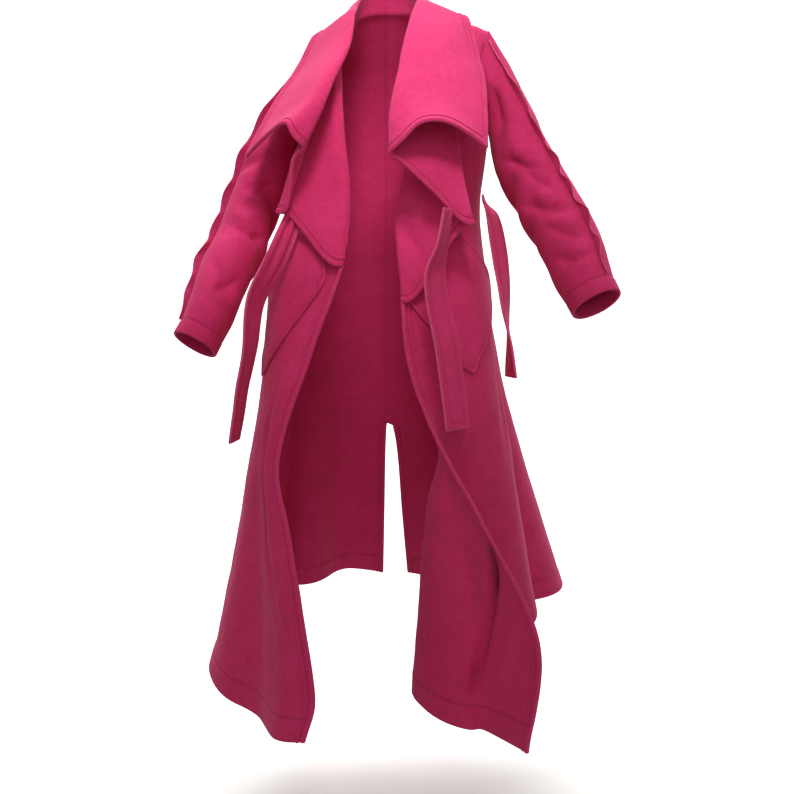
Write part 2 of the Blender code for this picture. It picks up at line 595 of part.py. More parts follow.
def tie_grid(line):
    """A flat ribbon along a centre line, turned as the table says."""
    table = np.array(line)
    lengths = np.concatenate([[0.0], np.cumsum(np.linalg.norm(np.diff(table[:, :3], axis=0), axis=1))])
    wanted = np.linspace(0.0, lengths[-1], TIE_STEPS + 1)
    smooth = smooth_rows(lengths, table, wanted)
    rows = []
    for index, (x, y, z, turn) in enumerate(smooth):
        before = smooth[max(index - 1, 0), :3]
        after = smooth[min(index + 1, TIE_STEPS), :3]
        axis = (after - before) / np.linalg.norm(after - before)
        flat = np.array((math.cos(math.radians(turn)), math.sin(math.radians(turn)), 0.0))
        flat -= axis * (flat @ axis)
        flat /= np.linalg.norm(flat)
        rows.append([np.array((x, y, z)) + flat * TIE_WIDTH * share for share in (-0.5, 0.0, 0.5)])
    return np.array(rows)


# ================================================================ objects
def wool(name, colour):
    """A matt wool material."""
    material = bpy.data.materials.new(name)
    material.use_nodes = True
    shader = material.node_tree.nodes["Principled BSDF"]
    shader.inputs["Base Color"].default_value = colour
    shader.inputs["Roughness"].default_value = WOOL_ROUGHNESS
    shader.inputs["Metallic"].default_value = 0.0
    material.diffuse_color = colour
    return material


def add_sheet(name, grid, wall, material, collection, closed=False):
    """A cloth wall: the grid's cells that have all their corners, thickened to both sides."""
    rows, columns = grid.shape[:2]
    index = -np.ones((rows, columns), int)
    vertices = []
    for row in range(rows):
        for column in range(columns):
            if not np.isnan(grid[row, column, 0]):
                index[row, column] = len(vertices)
                vertices.append(tuple(grid[row, column]))
    faces = []
    for row in range(rows - 1):
        for column in range(columns if closed else columns - 1):
            after = (column + 1) % columns
            corners = (index[row, column], index[row + 1, column], index[row + 1, after], index[row, after])
            if min(corners) >= 0:
                faces.append(tuple(int(corner) for corner in corners))
    mesh = bpy.data.meshes.new(name)
    mesh.from_pydata(vertices, [], faces)
    mesh.validate()
    mesh.shade_smooth()
    mesh.materials.append(material)
    piece = bpy.data.objects.new(name, mesh)
    collection.objects.link(piece)
    thick = piece.modifiers.new("wall", "SOLIDIFY")
    thick.thickness = wall
    thick.offset = 0.0
    thick.use_rim = True
    return piece


def build_coat():
    """Make every piece of the coat."""
    clear_scene()
    coat = bpy.data.collections.new("wool_wrap_coat")
    bpy.context.scene.collection.children.link(coat)
    cloth = wool("pink_wool", PINK)
    trim = wool("pink_wool_trim", PINK_SHADE)
    for side in ("left", "right"):
        front = front_grid(side)
        back = back_grid(side, front)
        sleeve_places, sleeve = sleeve_grid(side, front, back)
        add_sheet("front_" + side, world(trim_front(front, back), side), WALL, cloth, coat)
        add_sheet("back_" + side, world(trim_back(front, back), side), WALL, cloth, coat)
        add_sheet("sleeve_" + side, world(sleeve, side), WALL, cloth, coat, closed=True)
        for name, fin in FINS[side].items():
            grid = fin_grid(sleeve_places, sleeve, fin)
            add_sheet("sleeve_" + side + "_fin_" + name, world(grid, side), FIN_WALL, trim, coat)
        add_sheet("pocket_" + side, world(pocket_grid(side, front), side), WALL, cloth, coat)
    for name, line in TIES.items():
        add_sheet(name, tie_grid(line), DOUBLE_WALL, trim, coat)


build_coat()
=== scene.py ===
"""Wool wrap coat: the cloth, its turned edges, seams, stitches and finish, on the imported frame.

Metres, +Z up. The front faces -Y and the wearer's left is +X. Tables give places as out (away from
the middle), fore (towards the front) and up, as the solids do.
"""

import functools
import math

import bpy
import numpy as np
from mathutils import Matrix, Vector, noise

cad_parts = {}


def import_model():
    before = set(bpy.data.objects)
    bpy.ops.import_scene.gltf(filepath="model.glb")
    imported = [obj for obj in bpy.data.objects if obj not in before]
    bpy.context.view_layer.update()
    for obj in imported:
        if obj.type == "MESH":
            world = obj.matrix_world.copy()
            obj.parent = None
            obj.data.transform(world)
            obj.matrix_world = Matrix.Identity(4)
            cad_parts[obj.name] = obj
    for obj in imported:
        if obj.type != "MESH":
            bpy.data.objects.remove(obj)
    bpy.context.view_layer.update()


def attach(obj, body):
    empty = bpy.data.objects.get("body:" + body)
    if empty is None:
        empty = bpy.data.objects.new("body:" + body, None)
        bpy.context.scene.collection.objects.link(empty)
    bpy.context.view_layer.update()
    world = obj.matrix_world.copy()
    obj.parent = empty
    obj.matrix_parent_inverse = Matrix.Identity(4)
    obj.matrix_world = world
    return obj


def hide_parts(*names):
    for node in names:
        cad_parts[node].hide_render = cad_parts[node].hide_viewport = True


bl_info = {
    "name": "Wool wrap coat",
    "version": (1, 0, 0),
    "blender": (4, 5, 0),
    "location": "3D View > Sidebar > Coat",
    "description": "Builds a felted wool wrap coat with its turned edges, seams and stitches",
    "category": "Object",
}

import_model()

SIDES = ("left", "right")
SIGN = {"left": 1.0, "right": -1.0}

# ---------------------------------------------------------------- cloth
WALL = 0.0030               # thick felted wool
FIN_WALL = 0.0026
DOUBLE_WALL = 0.0050        # the ties are two layers
TURNED_EXTRA = 0.0036       # how much thicker the cloth is where its edge is turned and stitched
SEAM_TUCK = 0.0010          # how far a piece's edge stays back from its seam line
RIM_STEPS = 4               # facets round a cut or turned edge
FAR = 9.0                   # stands for a distance to an edge that isn't there
TINY = 1e-12                # keeps a division away from 0
SHORT_OF_END = 1e-9         # keeps a parameter inside the last span
# Distances from a free edge at which a grid has a line, so that the turned edge and its groove are
# crisp.
EDGE_STOPS = (0.0, 0.0012, 0.0030, 0.0050, 0.0064, 0.0076, 0.0088, 0.0104, 0.0124, 0.0138, 0.0150,
              0.0164, 0.0205)
HEM_STOPS = (0.0, 0.0016, 0.0046, 0.0100, 0.0170, 0.0250, 0.0330, 0.0356, 0.0368, 0.0380, 0.0394,
             0.0420)
CUFF_STOPS = (0.0, 0.0014, 0.0040, 0.0090, 0.0150, 0.0205, 0.0232, 0.0244, 0.0256, 0.0270, 0.0300)

# ---------------------------------------------------------------- fineness
BODY_SPANS = (34, 34, 34, 18)           # columns in the first spans of a front's section
LAYER_STEPS = 10            # and in each span of its cascade and collar
UPPER_STEPS = (8, 12, 18, 20, 30)       # rows in each span down to the cascade's free edge
LOWER_STEPS = {"left": (14, 18, 22, 28, 36), "right": (14, 18, 20, 20, 16, 30)}
EDGE_DENSITY = 1.4          # how much closer the grid lines lie towards the front edge
DENSE_ROWS = (1.3, 1.6)     # places between which they draw together
COLLAR_ROWS = 34            # from the shoulder to centre back
BACK_COLUMNS = 84           # from centre back to the side seam
NECK_COLUMNS = 26           # those of them along the neck
SLEEVE_AROUND = 96
SLEEVE_ROWS = 22            # from one ring of the table to the next

# ---------------------------------------------------------------- fronts, shoulder to hanging edge
UPPER = (0.0, 0.25, 0.5, 0.75, 1.0)     # places of the rows: shoulder 0, hanging edge 1
ARMHOLE_ROW = 0.25          # where the armhole is widest
UNDERARM_ROW = 0.5          # where it ends
ROUND_ROW = 0.08            # the row that rounds the shoulder
ROUND_SHARE = 0.26          # how far it lies on the way to the next one
FRONT_ROUND = (0.008, 0.011, 0.011, 0.006)      # lift at the tip, a third in, the neck and the edge
BACK_ROUND = (0.010, 0.012, 0.008)      # lift at centre back, the neck and the tip
# How far a fold's end is rounded, and how thick the fold is, at every place of UPPER.
FOLD_REACH = (0.004, 0.010, 0.018, 0.022, 0.024)
FOLD_DEPTH = (0.004, 0.011, 0.017, 0.020, 0.022)
# The lines that each front's rows run through, as (out, fore, up) at every place of UPPER.
RAILS = {
    "left": {
        "side": ((0.179, 0.035, -0.056), (0.158, 0.062, -0.132), (0.178, 0.015, -0.225),
                 (0.166, 0.000, -0.365), (0.182, 0.000, -0.500)),
        "fold_low": ((0.104, 0.020, -0.030), (0.085, 0.095, -0.120), (0.046, 0.125, -0.240),
                     (0.014, 0.150, -0.375), (0.022, 0.185, -0.516)),
        "fold_out": ((0.085, 0.016, -0.026), (0.100, 0.108, -0.100), (0.115, 0.138, -0.190),
                     (0.128, 0.168, -0.290), (0.148, 0.205, -0.392)),
        "roll": ((0.058, 0.028, -0.008), (0.035, 0.100, -0.073), (0.018, 0.155, -0.150),
                 (0.004, 0.198, -0.216), (0.002, 0.235, -0.280)),
        "edge": ((0.138, 0.032, -0.036), (0.150, 0.074, -0.086), (0.162, 0.115, -0.150),
                 (0.164, 0.164, -0.215), (0.162, 0.200, -0.271)),
    },
    "right": {
        "side": ((0.152, -0.045, -0.087), (0.132, -0.008, -0.160), (0.148, -0.035, -0.248),
                 (0.166, -0.012, -0.365), (0.200, 0.000, -0.490)),
        "fold_low": ((0.090, -0.012, -0.044), (0.072, 0.076, -0.134), (0.066, 0.118, -0.222),
                     (0.052, 0.152, -0.334), (0.064, 0.184, -0.458)),
        "fold_out": ((0.080, -0.006, -0.036), (0.090, 0.078, -0.114), (0.118, 0.114, -0.190),
                     (0.152, 0.138, -0.273), (0.181, 0.165, -0.372)),
        "roll": ((0.050, 0.020, -0.020), (0.055, 0.090, -0.090), (0.076, 0.145, -0.154),
                 (0.097, 0.182, -0.214), (0.122, 0.205, -0.268)),
        "edge": ((0.122, -0.022, -0.055), (0.152, 0.020, -0.120), (0.184, 0.056, -0.174),
                 (0.207, 0.093, -0.228), (0.229, 0.128, -0.279)),
    },
}
# Shares of the way along the shoulder, from its tip to the neck, at which its row has a point.
SHOULDER_PLACES = (0.0, 0.26, 0.48, 0.60, 0.67, 0.73, 0.79, 0.85, 0.90, 0.95, 1.0)
NECK_POINT = {"left": (0.066, 0.010, -0.036), "right": (0.060, -0.004, -0.048)}
BUST = (0.0, 0.006, 0.012, 0.004, 0.002)            # how far the chest swells at every place of UPPER
# How far the collar arches up and swells forward between its roll and its edge, at every place of UPPER.
COLLAR_ARCH = {"left": (0.002, 0.010, 0.014, 0.020, 0.046), "right": (0.002, 0.009, 0.010, 0.016, 0.044)}
COLLAR_SWELL = {"left": (0.000, 0.012, 0.018, 0.020, 0.022), "right": (0.000, 0.010, 0.016, 0.020, 0.022)}
# The two points where it does: the share of the way from roll to edge, and the share of the arch.
COLLAR_SHARES = {"left": ((0.36, 1.0), (0.72, 0.8)), "right": ((0.30, 1.0), (0.64, 0.58))}
ROLL_LIFT = (0.0, 0.0, 0.001, 0.006, 0.013)         # how far the rolled collar's lower edge is rounded
ROLL_SINK = 0.4             # the share of that by which the roll itself drops
TIP_REACH = 0.017           # how far the shoulder's tip is rounded
TIP_MOVE = (-0.0034, 0.0, -0.0056)
STAND_SHARE = 0.55          # the collar's stand, on the way from the neck to the roll
TURN_SHARE = 0.14           # its turn, on the way from the roll to the edge
TURN_UP = 0.003
# Two points on the way from the side seam to the chest: the shares of it out, fore and up.
CHEST_SHARES = ((0.04, 0.50, 0.25), (0.42, 0.90, 0.55))
COLLAR_POINTS = 6           # points of the shoulder row past the neck
# Parameters along a front's section: a third of the way in, the body's fold, the neck and the roll.
THIRD_SPAN = 1.5
FOLD_SPAN = 3.5
NECK_SPAN = 9.5
ROLL_SPAN = 11.5
# (fore, up) of the collar at centre back, from the neck over the roll to the free edge.
COLLAR_BACK = ((-0.060, -0.010), (-0.066, 0.012), (-0.074, 0.036), (-0.090, 0.034),
               (-0.104, 0.010), (-0.120, -0.022), (-0.136, -0.062))

# ---------------------------------------------------------------- fronts, below the cascade
HEM_SAG = {"left": 0.040, "right": 0.030}           # how far the hem sags between seam and edge
HEM_LEAN = 1.5              # how far towards the edge it does
# Each row: its place, the height of the side seam, the height of the free edge, and (out, fore) of
# every column.
LOWER_LEFT = {
    "columns": ("side", "ridge", "hidden", "behind", "crest_back", "crest", "crest_front", "pleat",
                "recess", "edge"),
    "rows": (
        (1.17, -0.592, -0.620,
         (0.190, 0.000), (0.194, 0.058), (0.170, 0.116), (0.130, 0.155), (0.100, 0.172),
         (0.080, 0.180), (0.066, 0.186), (0.056, 0.194), (0.048, 0.200), (0.040, 0.206)),
        (1.34, -0.695, -0.737,
         (0.202, -0.020), (0.212, 0.040), (0.196, 0.100), (0.160, 0.145), (0.120, 0.175),
         (0.098, 0.196), (0.088, 0.208), (0.084, 0.216), (0.083, 0.226), (0.084, 0.240)),
        (1.52, -0.808, -0.859,
         (0.222, -0.045), (0.234, 0.020), (0.214, 0.080), (0.160, 0.125), (0.105, 0.150),
         (0.066, 0.176), (0.084, 0.214), (0.106, 0.230), (0.124, 0.240), (0.152, 0.282)),
        (1.77, -0.960, -1.042,
         (0.252, -0.075), (0.264, -0.005), (0.228, 0.055), (0.150, 0.085), (0.088, 0.110),
         (0.050, 0.152), (0.078, 0.210), (0.130, 0.246), (0.152, 0.232), (0.240, 0.335)),
        (2.00, -1.107, -1.198,
         (0.283, -0.100), (0.294, -0.035), (0.240, 0.030), (0.148, 0.062), (0.078, 0.092),
         (0.038, 0.144), (0.078, 0.226), (0.140, 0.274), (0.162, 0.252), (0.219, 0.380)),
    ),
}
LOWER_RIGHT = {
    "columns": ("side", "turn", "flute", "flank", "hollow", "ridge_out", "ridge", "edge"),
    "rows": (
        (1.17, -0.595, -0.612,
         (0.203, 0.000), (0.208, 0.040), (0.204, 0.090), (0.190, 0.126), (0.176, 0.150),
         (0.162, 0.168), (0.147, 0.182), (0.125, 0.192)),
        (1.36, -0.725, -0.775,
         (0.218, -0.010), (0.231, 0.036), (0.230, 0.086), (0.220, 0.124), (0.208, 0.150),
         (0.200, 0.172), (0.190, 0.198), (0.175, 0.208)),
        (1.55, -0.860, -0.901,
         (0.236, -0.028), (0.253, 0.024), (0.255, 0.080), (0.238, 0.122), (0.212, 0.148),
         (0.200, 0.188), (0.180, 0.228), (0.155, 0.240)),
        (1.75, -0.990, -1.022,
         (0.252, -0.050), (0.274, 0.006), (0.282, 0.068), (0.262, 0.124), (0.214, 0.158),
         (0.192, 0.214), (0.166, 0.268), (0.132, 0.280)),
        (1.90, -1.085, -1.144,
         (0.264, -0.066), (0.294, -0.006), (0.306, 0.066), (0.278, 0.138), (0.216, 0.174),
         (0.190, 0.238), (0.158, 0.298), (0.113, 0.308)),
        (2.00, -1.150, -1.208,
         (0.276, -0.078), (0.310, -0.014), (0.326, 0.064), (0.286, 0.146), (0.218, 0.184),
         (0.194, 0.250), (0.170, 0.308), (0.128, 0.320)),
    ),
}

# ---------------------------------------------------------------- backs
# A place, and the fore and up of centre back there.
BACK_ROWS = ((0.25, -0.112, -0.120), (0.5, -0.122, -0.225), (0.75, -0.104, -0.365), (1.0, -0.130, -0.500))
BACK_SQUARENESS = 0.82      # 1 would be an ellipse
ARMHOLE_BACK = (-0.006, -0.062, 0.0)    # from the armhole's front edge to its back edge
BACK_LOWER_ROWS = (1.17, 1.34, 1.52, 1.77, 2.0)
VENT_TOP = 1.45             # a place between hip 1 and hem 2
VENT_BLEND = (0.3, 1.1)     # places between which the grid draws together for the vent's edge
# (out, fore) of the hem, from centre back to the side seam.
BACK_HEM = {
    "left": ((0.045, -0.300), (0.090, -0.262), (0.140, -0.262), (0.180, -0.350), (0.240, -0.330),
             (0.290, -0.220), (0.372, -0.290), (0.352, -0.170), (0.292, -0.150)),
    "right": ((0.012, -0.300), (0.060, -0.330), (0.105, -0.330), (0.140, -0.230), (0.190, -0.220),
              (0.235, -0.290), (0.290, -0.240), (0.282, -0.160), (0.272, -0.120)),
}
BACK_HEM_UP = -1.108
BACK_EASE = 1.15            # above 1 the back flares later

# ---------------------------------------------------------------- sleeves
# Rings of a sleeve: the middle's out, fore and up, the half width and the half depth.
SLEEVES = {
    "left": ((0.238, 0.045, -0.278, 0.050, 0.060),
             (0.271, 0.072, -0.348, 0.054, 0.057), (0.309, 0.108, -0.416, 0.052, 0.055),
             (0.331, 0.140, -0.480, 0.046, 0.052), (0.349, 0.160, -0.522, 0.041, 0.050)),
    "right": ((0.201, -0.020, -0.272, 0.041, 0.058), (0.228, 0.000, -0.344, 0.044, 0.056),
              (0.249, 0.030, -0.415, 0.046, 0.053),
              (0.280, 0.080, -0.484, 0.042, 0.051), (0.301, 0.118, -0.551, 0.038, 0.049),
              (0.320, 0.134, -0.590, 0.037, 0.048)),
}
# Place down the sleeve, angle round it, depth, width and spread round it in degrees.
SLEEVE_CREASES = ((0.42, 150.0, 0.006, 0.05, 70.0), (0.52, 190.0, 0.008, 0.05, 70.0),
                  (0.62, 165.0, 0.006, 0.04, 70.0), (0.82, 120.0, 0.005, 0.04, 70.0),
                  (0.48, 260.0, 0.005, 0.03, 60.0), (0.60, 290.0, 0.005, 0.03, 60.0))
CREASE_SLANT = 0.0016       # how far down the sleeve a crease runs for each degree round it
SLEEVE_HEAD = 0.006         # how far the sleeve's head is eased out
HEAD_SHARE = 0.3            # of the sleeve's length, over which it is
SLEEVE_FADE = (0.02, 0.12)  # places between which creases and waves set in below the armhole
FIN_HEIGHT = {"left": 0.0090, "right": 0.0110}
FIN_END_HEIGHT = 0.45       # the share of its height that a raised seam has at its ends
FIN_ENDS = ((0.0, 0.16), (0.80, 0.95))  # places between which it rises and falls off
FIN_WAVE = {"left": 0.0030, "right": 0.0045}        # how far it sways
FIN_WAVES = 8.0             # waves along a sleeve
# The waves that make it irregular: their pace, where they start, and their share.
FIN_RIPPLES = ((1.0, 0.0, 1.0), (0.43, 0.7, 0.7), (1.9, 1.3, 0.3))
FIN_CURL = 1.4              # how the waves grow from its foot to its edge
FIN_SINK = 0.0006           # how far its foot stands in the sleeve
FIN_SHADE = 0.9             # the share of a seam's painted shade that a raised seam has all over
FIN_SWELL = 0.0026          # how much its height comes and goes
FIN_SWELL_PACE = (0.9, 0.6)             # pace and start of that
FIN_BEND = 4                # how soon below the armhole it reaches its line
FIN_ROWS = 5
FIN_START = 1               # grid lines of the sleeve left free above it
FIN_END = 13                # and below it
ARMHOLE_CLEAR = 0.0016      # how far out the sleeve starts from the armhole
# The angle round the sleeve at which each raised seam starts and ends.
FINS = {
    "left": {"front": (14.0, 62.0), "back": (-14.0, -30.0)},
    "right": {"front": (14.0, 18.0), "back": (-14.0, -42.0)},
}

# ---------------------------------------------------------------- creases
SLEEVE_RELIEF = 1.4         # how much the sleeves' creases are deepened
CREASE_END = 0.3            # the share of a crease over which each end fades
CREASE_END_DEPTH = 0.25     # and the share of its depth that is left there
FACING = 0.3                # how far cloth must face the front for a crease to have its full depth
# The pleat in the left front's lower part, and the hollow in the right front's.
PLEAT = ((0.184, 0.290, -0.880), (0.173, 0.271, -0.976), (0.166, 0.257, -1.030), (0.157, 0.252, -1.086),
         (0.149, 0.253, -1.133), (0.137, 0.262, -1.176))
HOLLOW = ((0.178, 0.172, -0.640), (0.196, 0.166, -0.716), (0.206, 0.173, -0.799), (0.201, 0.188, -0.915),
          (0.190, 0.217, -0.975), (0.168, 0.260, -1.045))
# Soft troughs, or ridges where the depth is below 0: a line of (out, fore, up) points, its depth and
# its width.
CREASES = {
    "sleeve_left": (
        (((0.176, 0.070, -0.144), (0.184, 0.073, -0.189), (0.193, 0.075, -0.239)), 0.0100, 0.016),
        (((0.214, 0.090, -0.216), (0.232, 0.092, -0.229)), 0.0030, 0.012),
        (((0.203, 0.085, -0.282), (0.230, 0.106, -0.293), (0.264, 0.115, -0.301)), 0.0050, 0.009),
        (((0.212, 0.092, -0.262), (0.238, 0.100, -0.272)), -0.0028, 0.010),
        (((0.228, 0.106, -0.298), (0.252, 0.119, -0.317), (0.278, 0.127, -0.331)), 0.0042, 0.008),
        (((0.268, 0.128, -0.345), (0.250, 0.125, -0.338)), -0.0032, 0.010),
        (((0.232, 0.110, -0.358), (0.265, 0.137, -0.368), (0.304, 0.146, -0.368)), 0.0052, 0.009),
        (((0.268, 0.145, -0.384), (0.300, 0.150, -0.388)), -0.0024, 0.009),
        (((0.273, 0.147, -0.397), (0.297, 0.162, -0.408), (0.323, 0.162, -0.412)), 0.0044, 0.008),
        (((0.294, 0.163, -0.428), (0.312, 0.170, -0.430)), -0.0028, 0.010),
        (((0.281, 0.155, -0.450), (0.307, 0.176, -0.450), (0.336, 0.179, -0.439)), 0.0040, 0.008),
    ),
    "sleeve_right": (
        (((0.270, 0.010, -0.290), (0.240, 0.030, -0.284), (0.214, 0.040, -0.274)), 0.0046, 0.010),
        (((0.243, 0.051, -0.328), (0.217, 0.049, -0.330), (0.195, 0.035, -0.320)), 0.0056, 0.009),
        (((0.264, 0.065, -0.362), (0.241, 0.077, -0.378), (0.214, 0.060, -0.372)), -0.0034, 0.011),
        (((0.274, 0.055, -0.388), (0.250, 0.075, -0.406), (0.226, 0.073, -0.414), (0.208, 0.051, -0.414)),
         0.0056, 0.009),
        (((0.262, 0.080, -0.440), (0.240, 0.090, -0.450)), -0.0030, 0.011),
        (((0.288, 0.120, -0.500), (0.276, 0.140, -0.498), (0.257, 0.126, -0.492), (0.246, 0.110, -0.480)),
         0.0050, 0.009),
        (((0.300, 0.130, -0.530), (0.280, 0.142, -0.522)), -0.0024, 0.009),
    ),
    "front_left": (
        (((0.020, 0.160, -0.380), (0.025, 0.161, -0.393), (0.044, 0.174, -0.418), (0.060, 0.184, -0.446)),
         0.0060, 0.011),
        (((0.046, 0.168, -0.372), (0.066, 0.178, -0.392)), -0.0040, 0.012),
        (((0.190, 0.060, -0.620), (0.205, 0.077, -0.700), (0.214, 0.070, -0.790)), 0.0040, 0.016),
        (PLEAT, 0.0190, 0.0075),
        (((0.190, 0.288, -0.980), (0.181, 0.274, -1.030), (0.172, 0.269, -1.086), (0.163, 0.270, -1.133)),
         0.0080, 0.018),
        (((0.166, 0.280, -0.900), (0.158, 0.262, -0.976), (0.151, 0.250, -1.030), (0.142, 0.248, -1.086),
          (0.134, 0.250, -1.133)), -0.0050, 0.011),
    ),
    "front_right": (
        (HOLLOW, 0.0055, 0.009),
        (((0.184, 0.182, -0.720), (0.190, 0.190, -0.800), (0.184, 0.210, -0.915)), -0.0030, 0.010),
        (((0.096, 0.140, -0.290), (0.086, 0.165, -0.353), (0.080, 0.181, -0.420)), 0.0040, 0.014),
        (((0.236, 0.060, -0.760), (0.262, 0.070, -0.900), (0.290, 0.080, -1.060)), 0.0040, 0.022),
    ),
}

# Painted shade where a deep fold gathers shade: a line, how much, and its width.
SHADED = {
    "left": ((((0.188, 0.293, -0.862), (0.184, 0.290, -0.880), (0.179, 0.281, -0.928),
               (0.173, 0.271, -0.976), (0.170, 0.262, -1.004)), 3.4, 0.0105),
             (((0.176, 0.275, -0.960), *PLEAT[2:]), 1.2, 0.0080)),
    "right": ((HOLLOW[:-1], 0.5, 0.0080),),
}

# ---------------------------------------------------------------- pockets and ties
# The pocket's outline on the front: the share across it, and the places of its top and bottom there.
POCKETS = {
    "left": ((0.86, 0.91, 1.00), (0.73, 0.86, 1.05), (0.56, 0.83, 1.10), (0.40, 0.82, 1.165),
             (0.28, 0.87, 1.215), (0.16, 0.92, 1.13), (0.06, 0.96, 1.02)),
    "right": ((0.80, 1.03, 1.05), (0.70, 0.98, 1.10), (0.59, 0.92, 1.14), (0.46, 0.88, 1.18),
              (0.32, 0.88, 1.225), (0.18, 0.92, 1.18), (0.08, 0.96, 1.06)),
}
POCKET_ACROSS = 90
POCKET_DOWN = 110
POCKET_GAP = 0.0022         # between the middle surfaces, past one wall's thickness
TIE_WIDTH = 0.044
TIE_STEPS = 150
TIE_ACROSS = 22
# The share of a tie's width that is left at its top, and of its length over which it opens out.
TIE_GATHER = {"tie_right": 0.55, "tie_left_front": 0.9, "tie_left_side": 1.0}
GATHER_SHARE = 0.35
TIE_RUFFLE = 0.008          # height of the two waves that a full gather would give
# Points x, y and z of the middle line, and how far the ribbon is turned there, in degrees.
TIES = {
    "tie_right": ((-0.1488, -0.1506, -0.374, 12.0), (-0.174, -0.1724, -0.440, 34.0),
                  (-0.209, -0.183, -0.512, 58.0), (-0.222, -0.175, -0.590, 68.0),
                  (-0.238, -0.170, -0.668, 74.0), (-0.252, -0.166, -0.750, 77.0)),
    "tie_left_front": ((0.100, -0.238, -0.372, 70.0), (0.092, -0.238, -0.420, 66.0),
                       (0.080, -0.234, -0.480, 45.0), (0.100, -0.240, -0.590, 36.0),
                       (0.117, -0.250, -0.716, 34.0)),
    "tie_left_side": ((0.1745, 0.012, -0.342, 90.0), (0.190, 0.002, -0.372, 60.0),
                      (0.203, -0.006, -0.440, 52.0), (0.213, -0.010, -0.521, 66.0),
                      (0.222, -0.010, -0.600, 92.0), (0.226, -0.010, -0.658, 108.0)),
}

# ---------------------------------------------------------------- turned edges and seams
EDGE_WIDTH = 0.0144         # the turned edge of collar, cascade and front
EDGE_STITCH = 0.0076        # its row of stitches, one of EDGE_STOPS
HEM_WIDTH = 0.0380
HEM_STITCH = 0.0368
HEM_EXTRA = 0.0016
CUFF_WIDTH = 0.0256
CUFF_STITCH = 0.0244
POCKET_EDGE = 0.0120
POCKET_EXTRA = 0.0018
POCKET_STITCH = 0.0080
TIE_STITCH = 0.0085         # from the tie's long edges
GROOVE_DEPTH = 0.55         # of the cloth's thickness, where a row of stitches draws it in
GROOVE_WIDTH = 0.0019
GROOVE_SHADE = 1.8          # how fast a groove's painted shade grows with its depth
EDGE_STEP = (0.0010, 0.0012)            # from how far inside a turned edge's end to how far past it
BAND_DEPTH = 0.22           # the softer line where a turned edge ends
BAND_OFFSET = 0.0006
# Depth, as a share of the cloth, and width of the line that a seam draws in.
SEAM_GROOVES = {"centre": (0.35, 0.0016), "side": (0.30, 0.0014), "armhole": (0.35, 0.0018),
                "tie": (0.45, 0.0014)}
STITCH_SIZES = {"Pitch": 0.0042, "Length": 0.0034, "Gauge": 0.0009}     # the node group's defaults; the stitching settings replace them
STITCH_SHARE = 0.78         # of the pitch that shows as thread
STITCH_SINK = 0.10          # how far, in thread gauges, a stitch's middle lies above the cloth
# Soft waves of hung wool: the size of a wave and its height, broad ones first.
FRONT_WAVES = ((0.090, 0.0022), (0.035, 0.0008))
SLEEVE_WAVES = ((0.060, 0.0022), (0.028, 0.0008))
TIE_WAVES = ((0.060, 0.0016),)
# A number for each kind of wave, so that no two panels are alike.
FRONT_SEEDS = {"left": (1.0, 3.0), "right": (-1.0, 3.0)}
SLEEVE_SEEDS = {"left": (8.0, 4.0), "right": (-8.0, 4.0)}
TIE_SEEDS = (5.0,)

# ---------------------------------------------------------------- finishes
# Patterns in the felt: cells to a metre, detail, roughness and distortion.
FELT_PATTERNS = {
    "fibres": (1500.0, 2.0, 0.60, 1.2), "felt": (420.0, 4.0, 0.62, 0.8), "tufts": (120.0, 3.0, 0.55, 0.4),
    "mottle": (26.0, 4.0, 0.60, 0.0), "clouds": (5.0, 2.0, 0.50, 0.0),
}
# How much each of them darkens the wool, and how high it stands in the nap.
FELT_TINT = {"felt": 0.75, "fibres": 0.40, "tufts": 0.70, "mottle": 0.60, "clouds": 0.35}
FELT_HEIGHT = {"felt": 0.55, "fibres": 0.30, "tufts": 0.65}
WRONG_SIDE_TINT = 0.12      # how much darker the inside is
TINT_GAIN = (1.1, 0.36)     # slope and start of the way from the wool's colour to its deep colour
PAINTED_SHADE_SHARE = 0.30            # how much the painted shade darkens it
PAINTED_SHADE_DARK = 0.38            # the painted shade's colour, as a share of the deep colour
RIM_HIGHLIGHT_COLOUR = (0.92, 0.20, 0.40, 1.0)     # painted highlight on the rims
RIM_HIGHLIGHT_SHARE = {"cloth": 0.10, "trim": 0.45}          # how much of the painted highlight shows on a rim
TRIM_PAINTED_SHADE = 0.95           # the trim's colour against the cloth's, darkened as painted shade on raised seams and ties
WOOL_SURFACE = {"Specular IOR Level": 0.18, "Sheen Weight": 0.20, "Sheen Roughness": 0.42,
                "Sheen Tint": (1.0, 0.50, 0.68, 1.0)}
WOOL_ROUGHNESS = (0.12, 0.84)           # how much a pattern adds, and the least
RIM_BELL = (0.5, 0.3)       # where the painted highlight sits on the rim, between right side 0 and wrong side 1, and its spread
NAP_STRENGTH = 0.75
THREAD_PLY = (900.0, 2.0, 0.5)          # cells to a metre, detail and roughness
THREAD_DARK = 0.55          # of the thread's colour
THREAD_ROUGHNESS = (0.2, 0.5)
FLOOR_GRAIN = (3.0, 2.0, 0.5)
FLOOR_ROUGHNESS = (0.1, 0.85)           # how much its grain adds, and the least
FLOOR_SURFACE = {"Emission Color": (1.0, 1.0, 1.0, 1.0), "Emission Strength": 0.32}
MIX_COLOURS = (6, 7)        # the colour inputs of a Mix node
MIX_RESULT = 2              # and its colour output

# ---------------------------------------------------------------- stage
FLOOR_WIDTH = 9.0           # of the floor and the wall, on each side of the middle
FLOOR_FRONT = -7.0
WALL_FOOT = 2.2             # where the floor starts to curve up
WALL_ROUND = 1.6            # radius of the curve
WALL_TOP = 7.0
SKY_COLOUR = (1.0, 0.95, 0.86, 1.0)
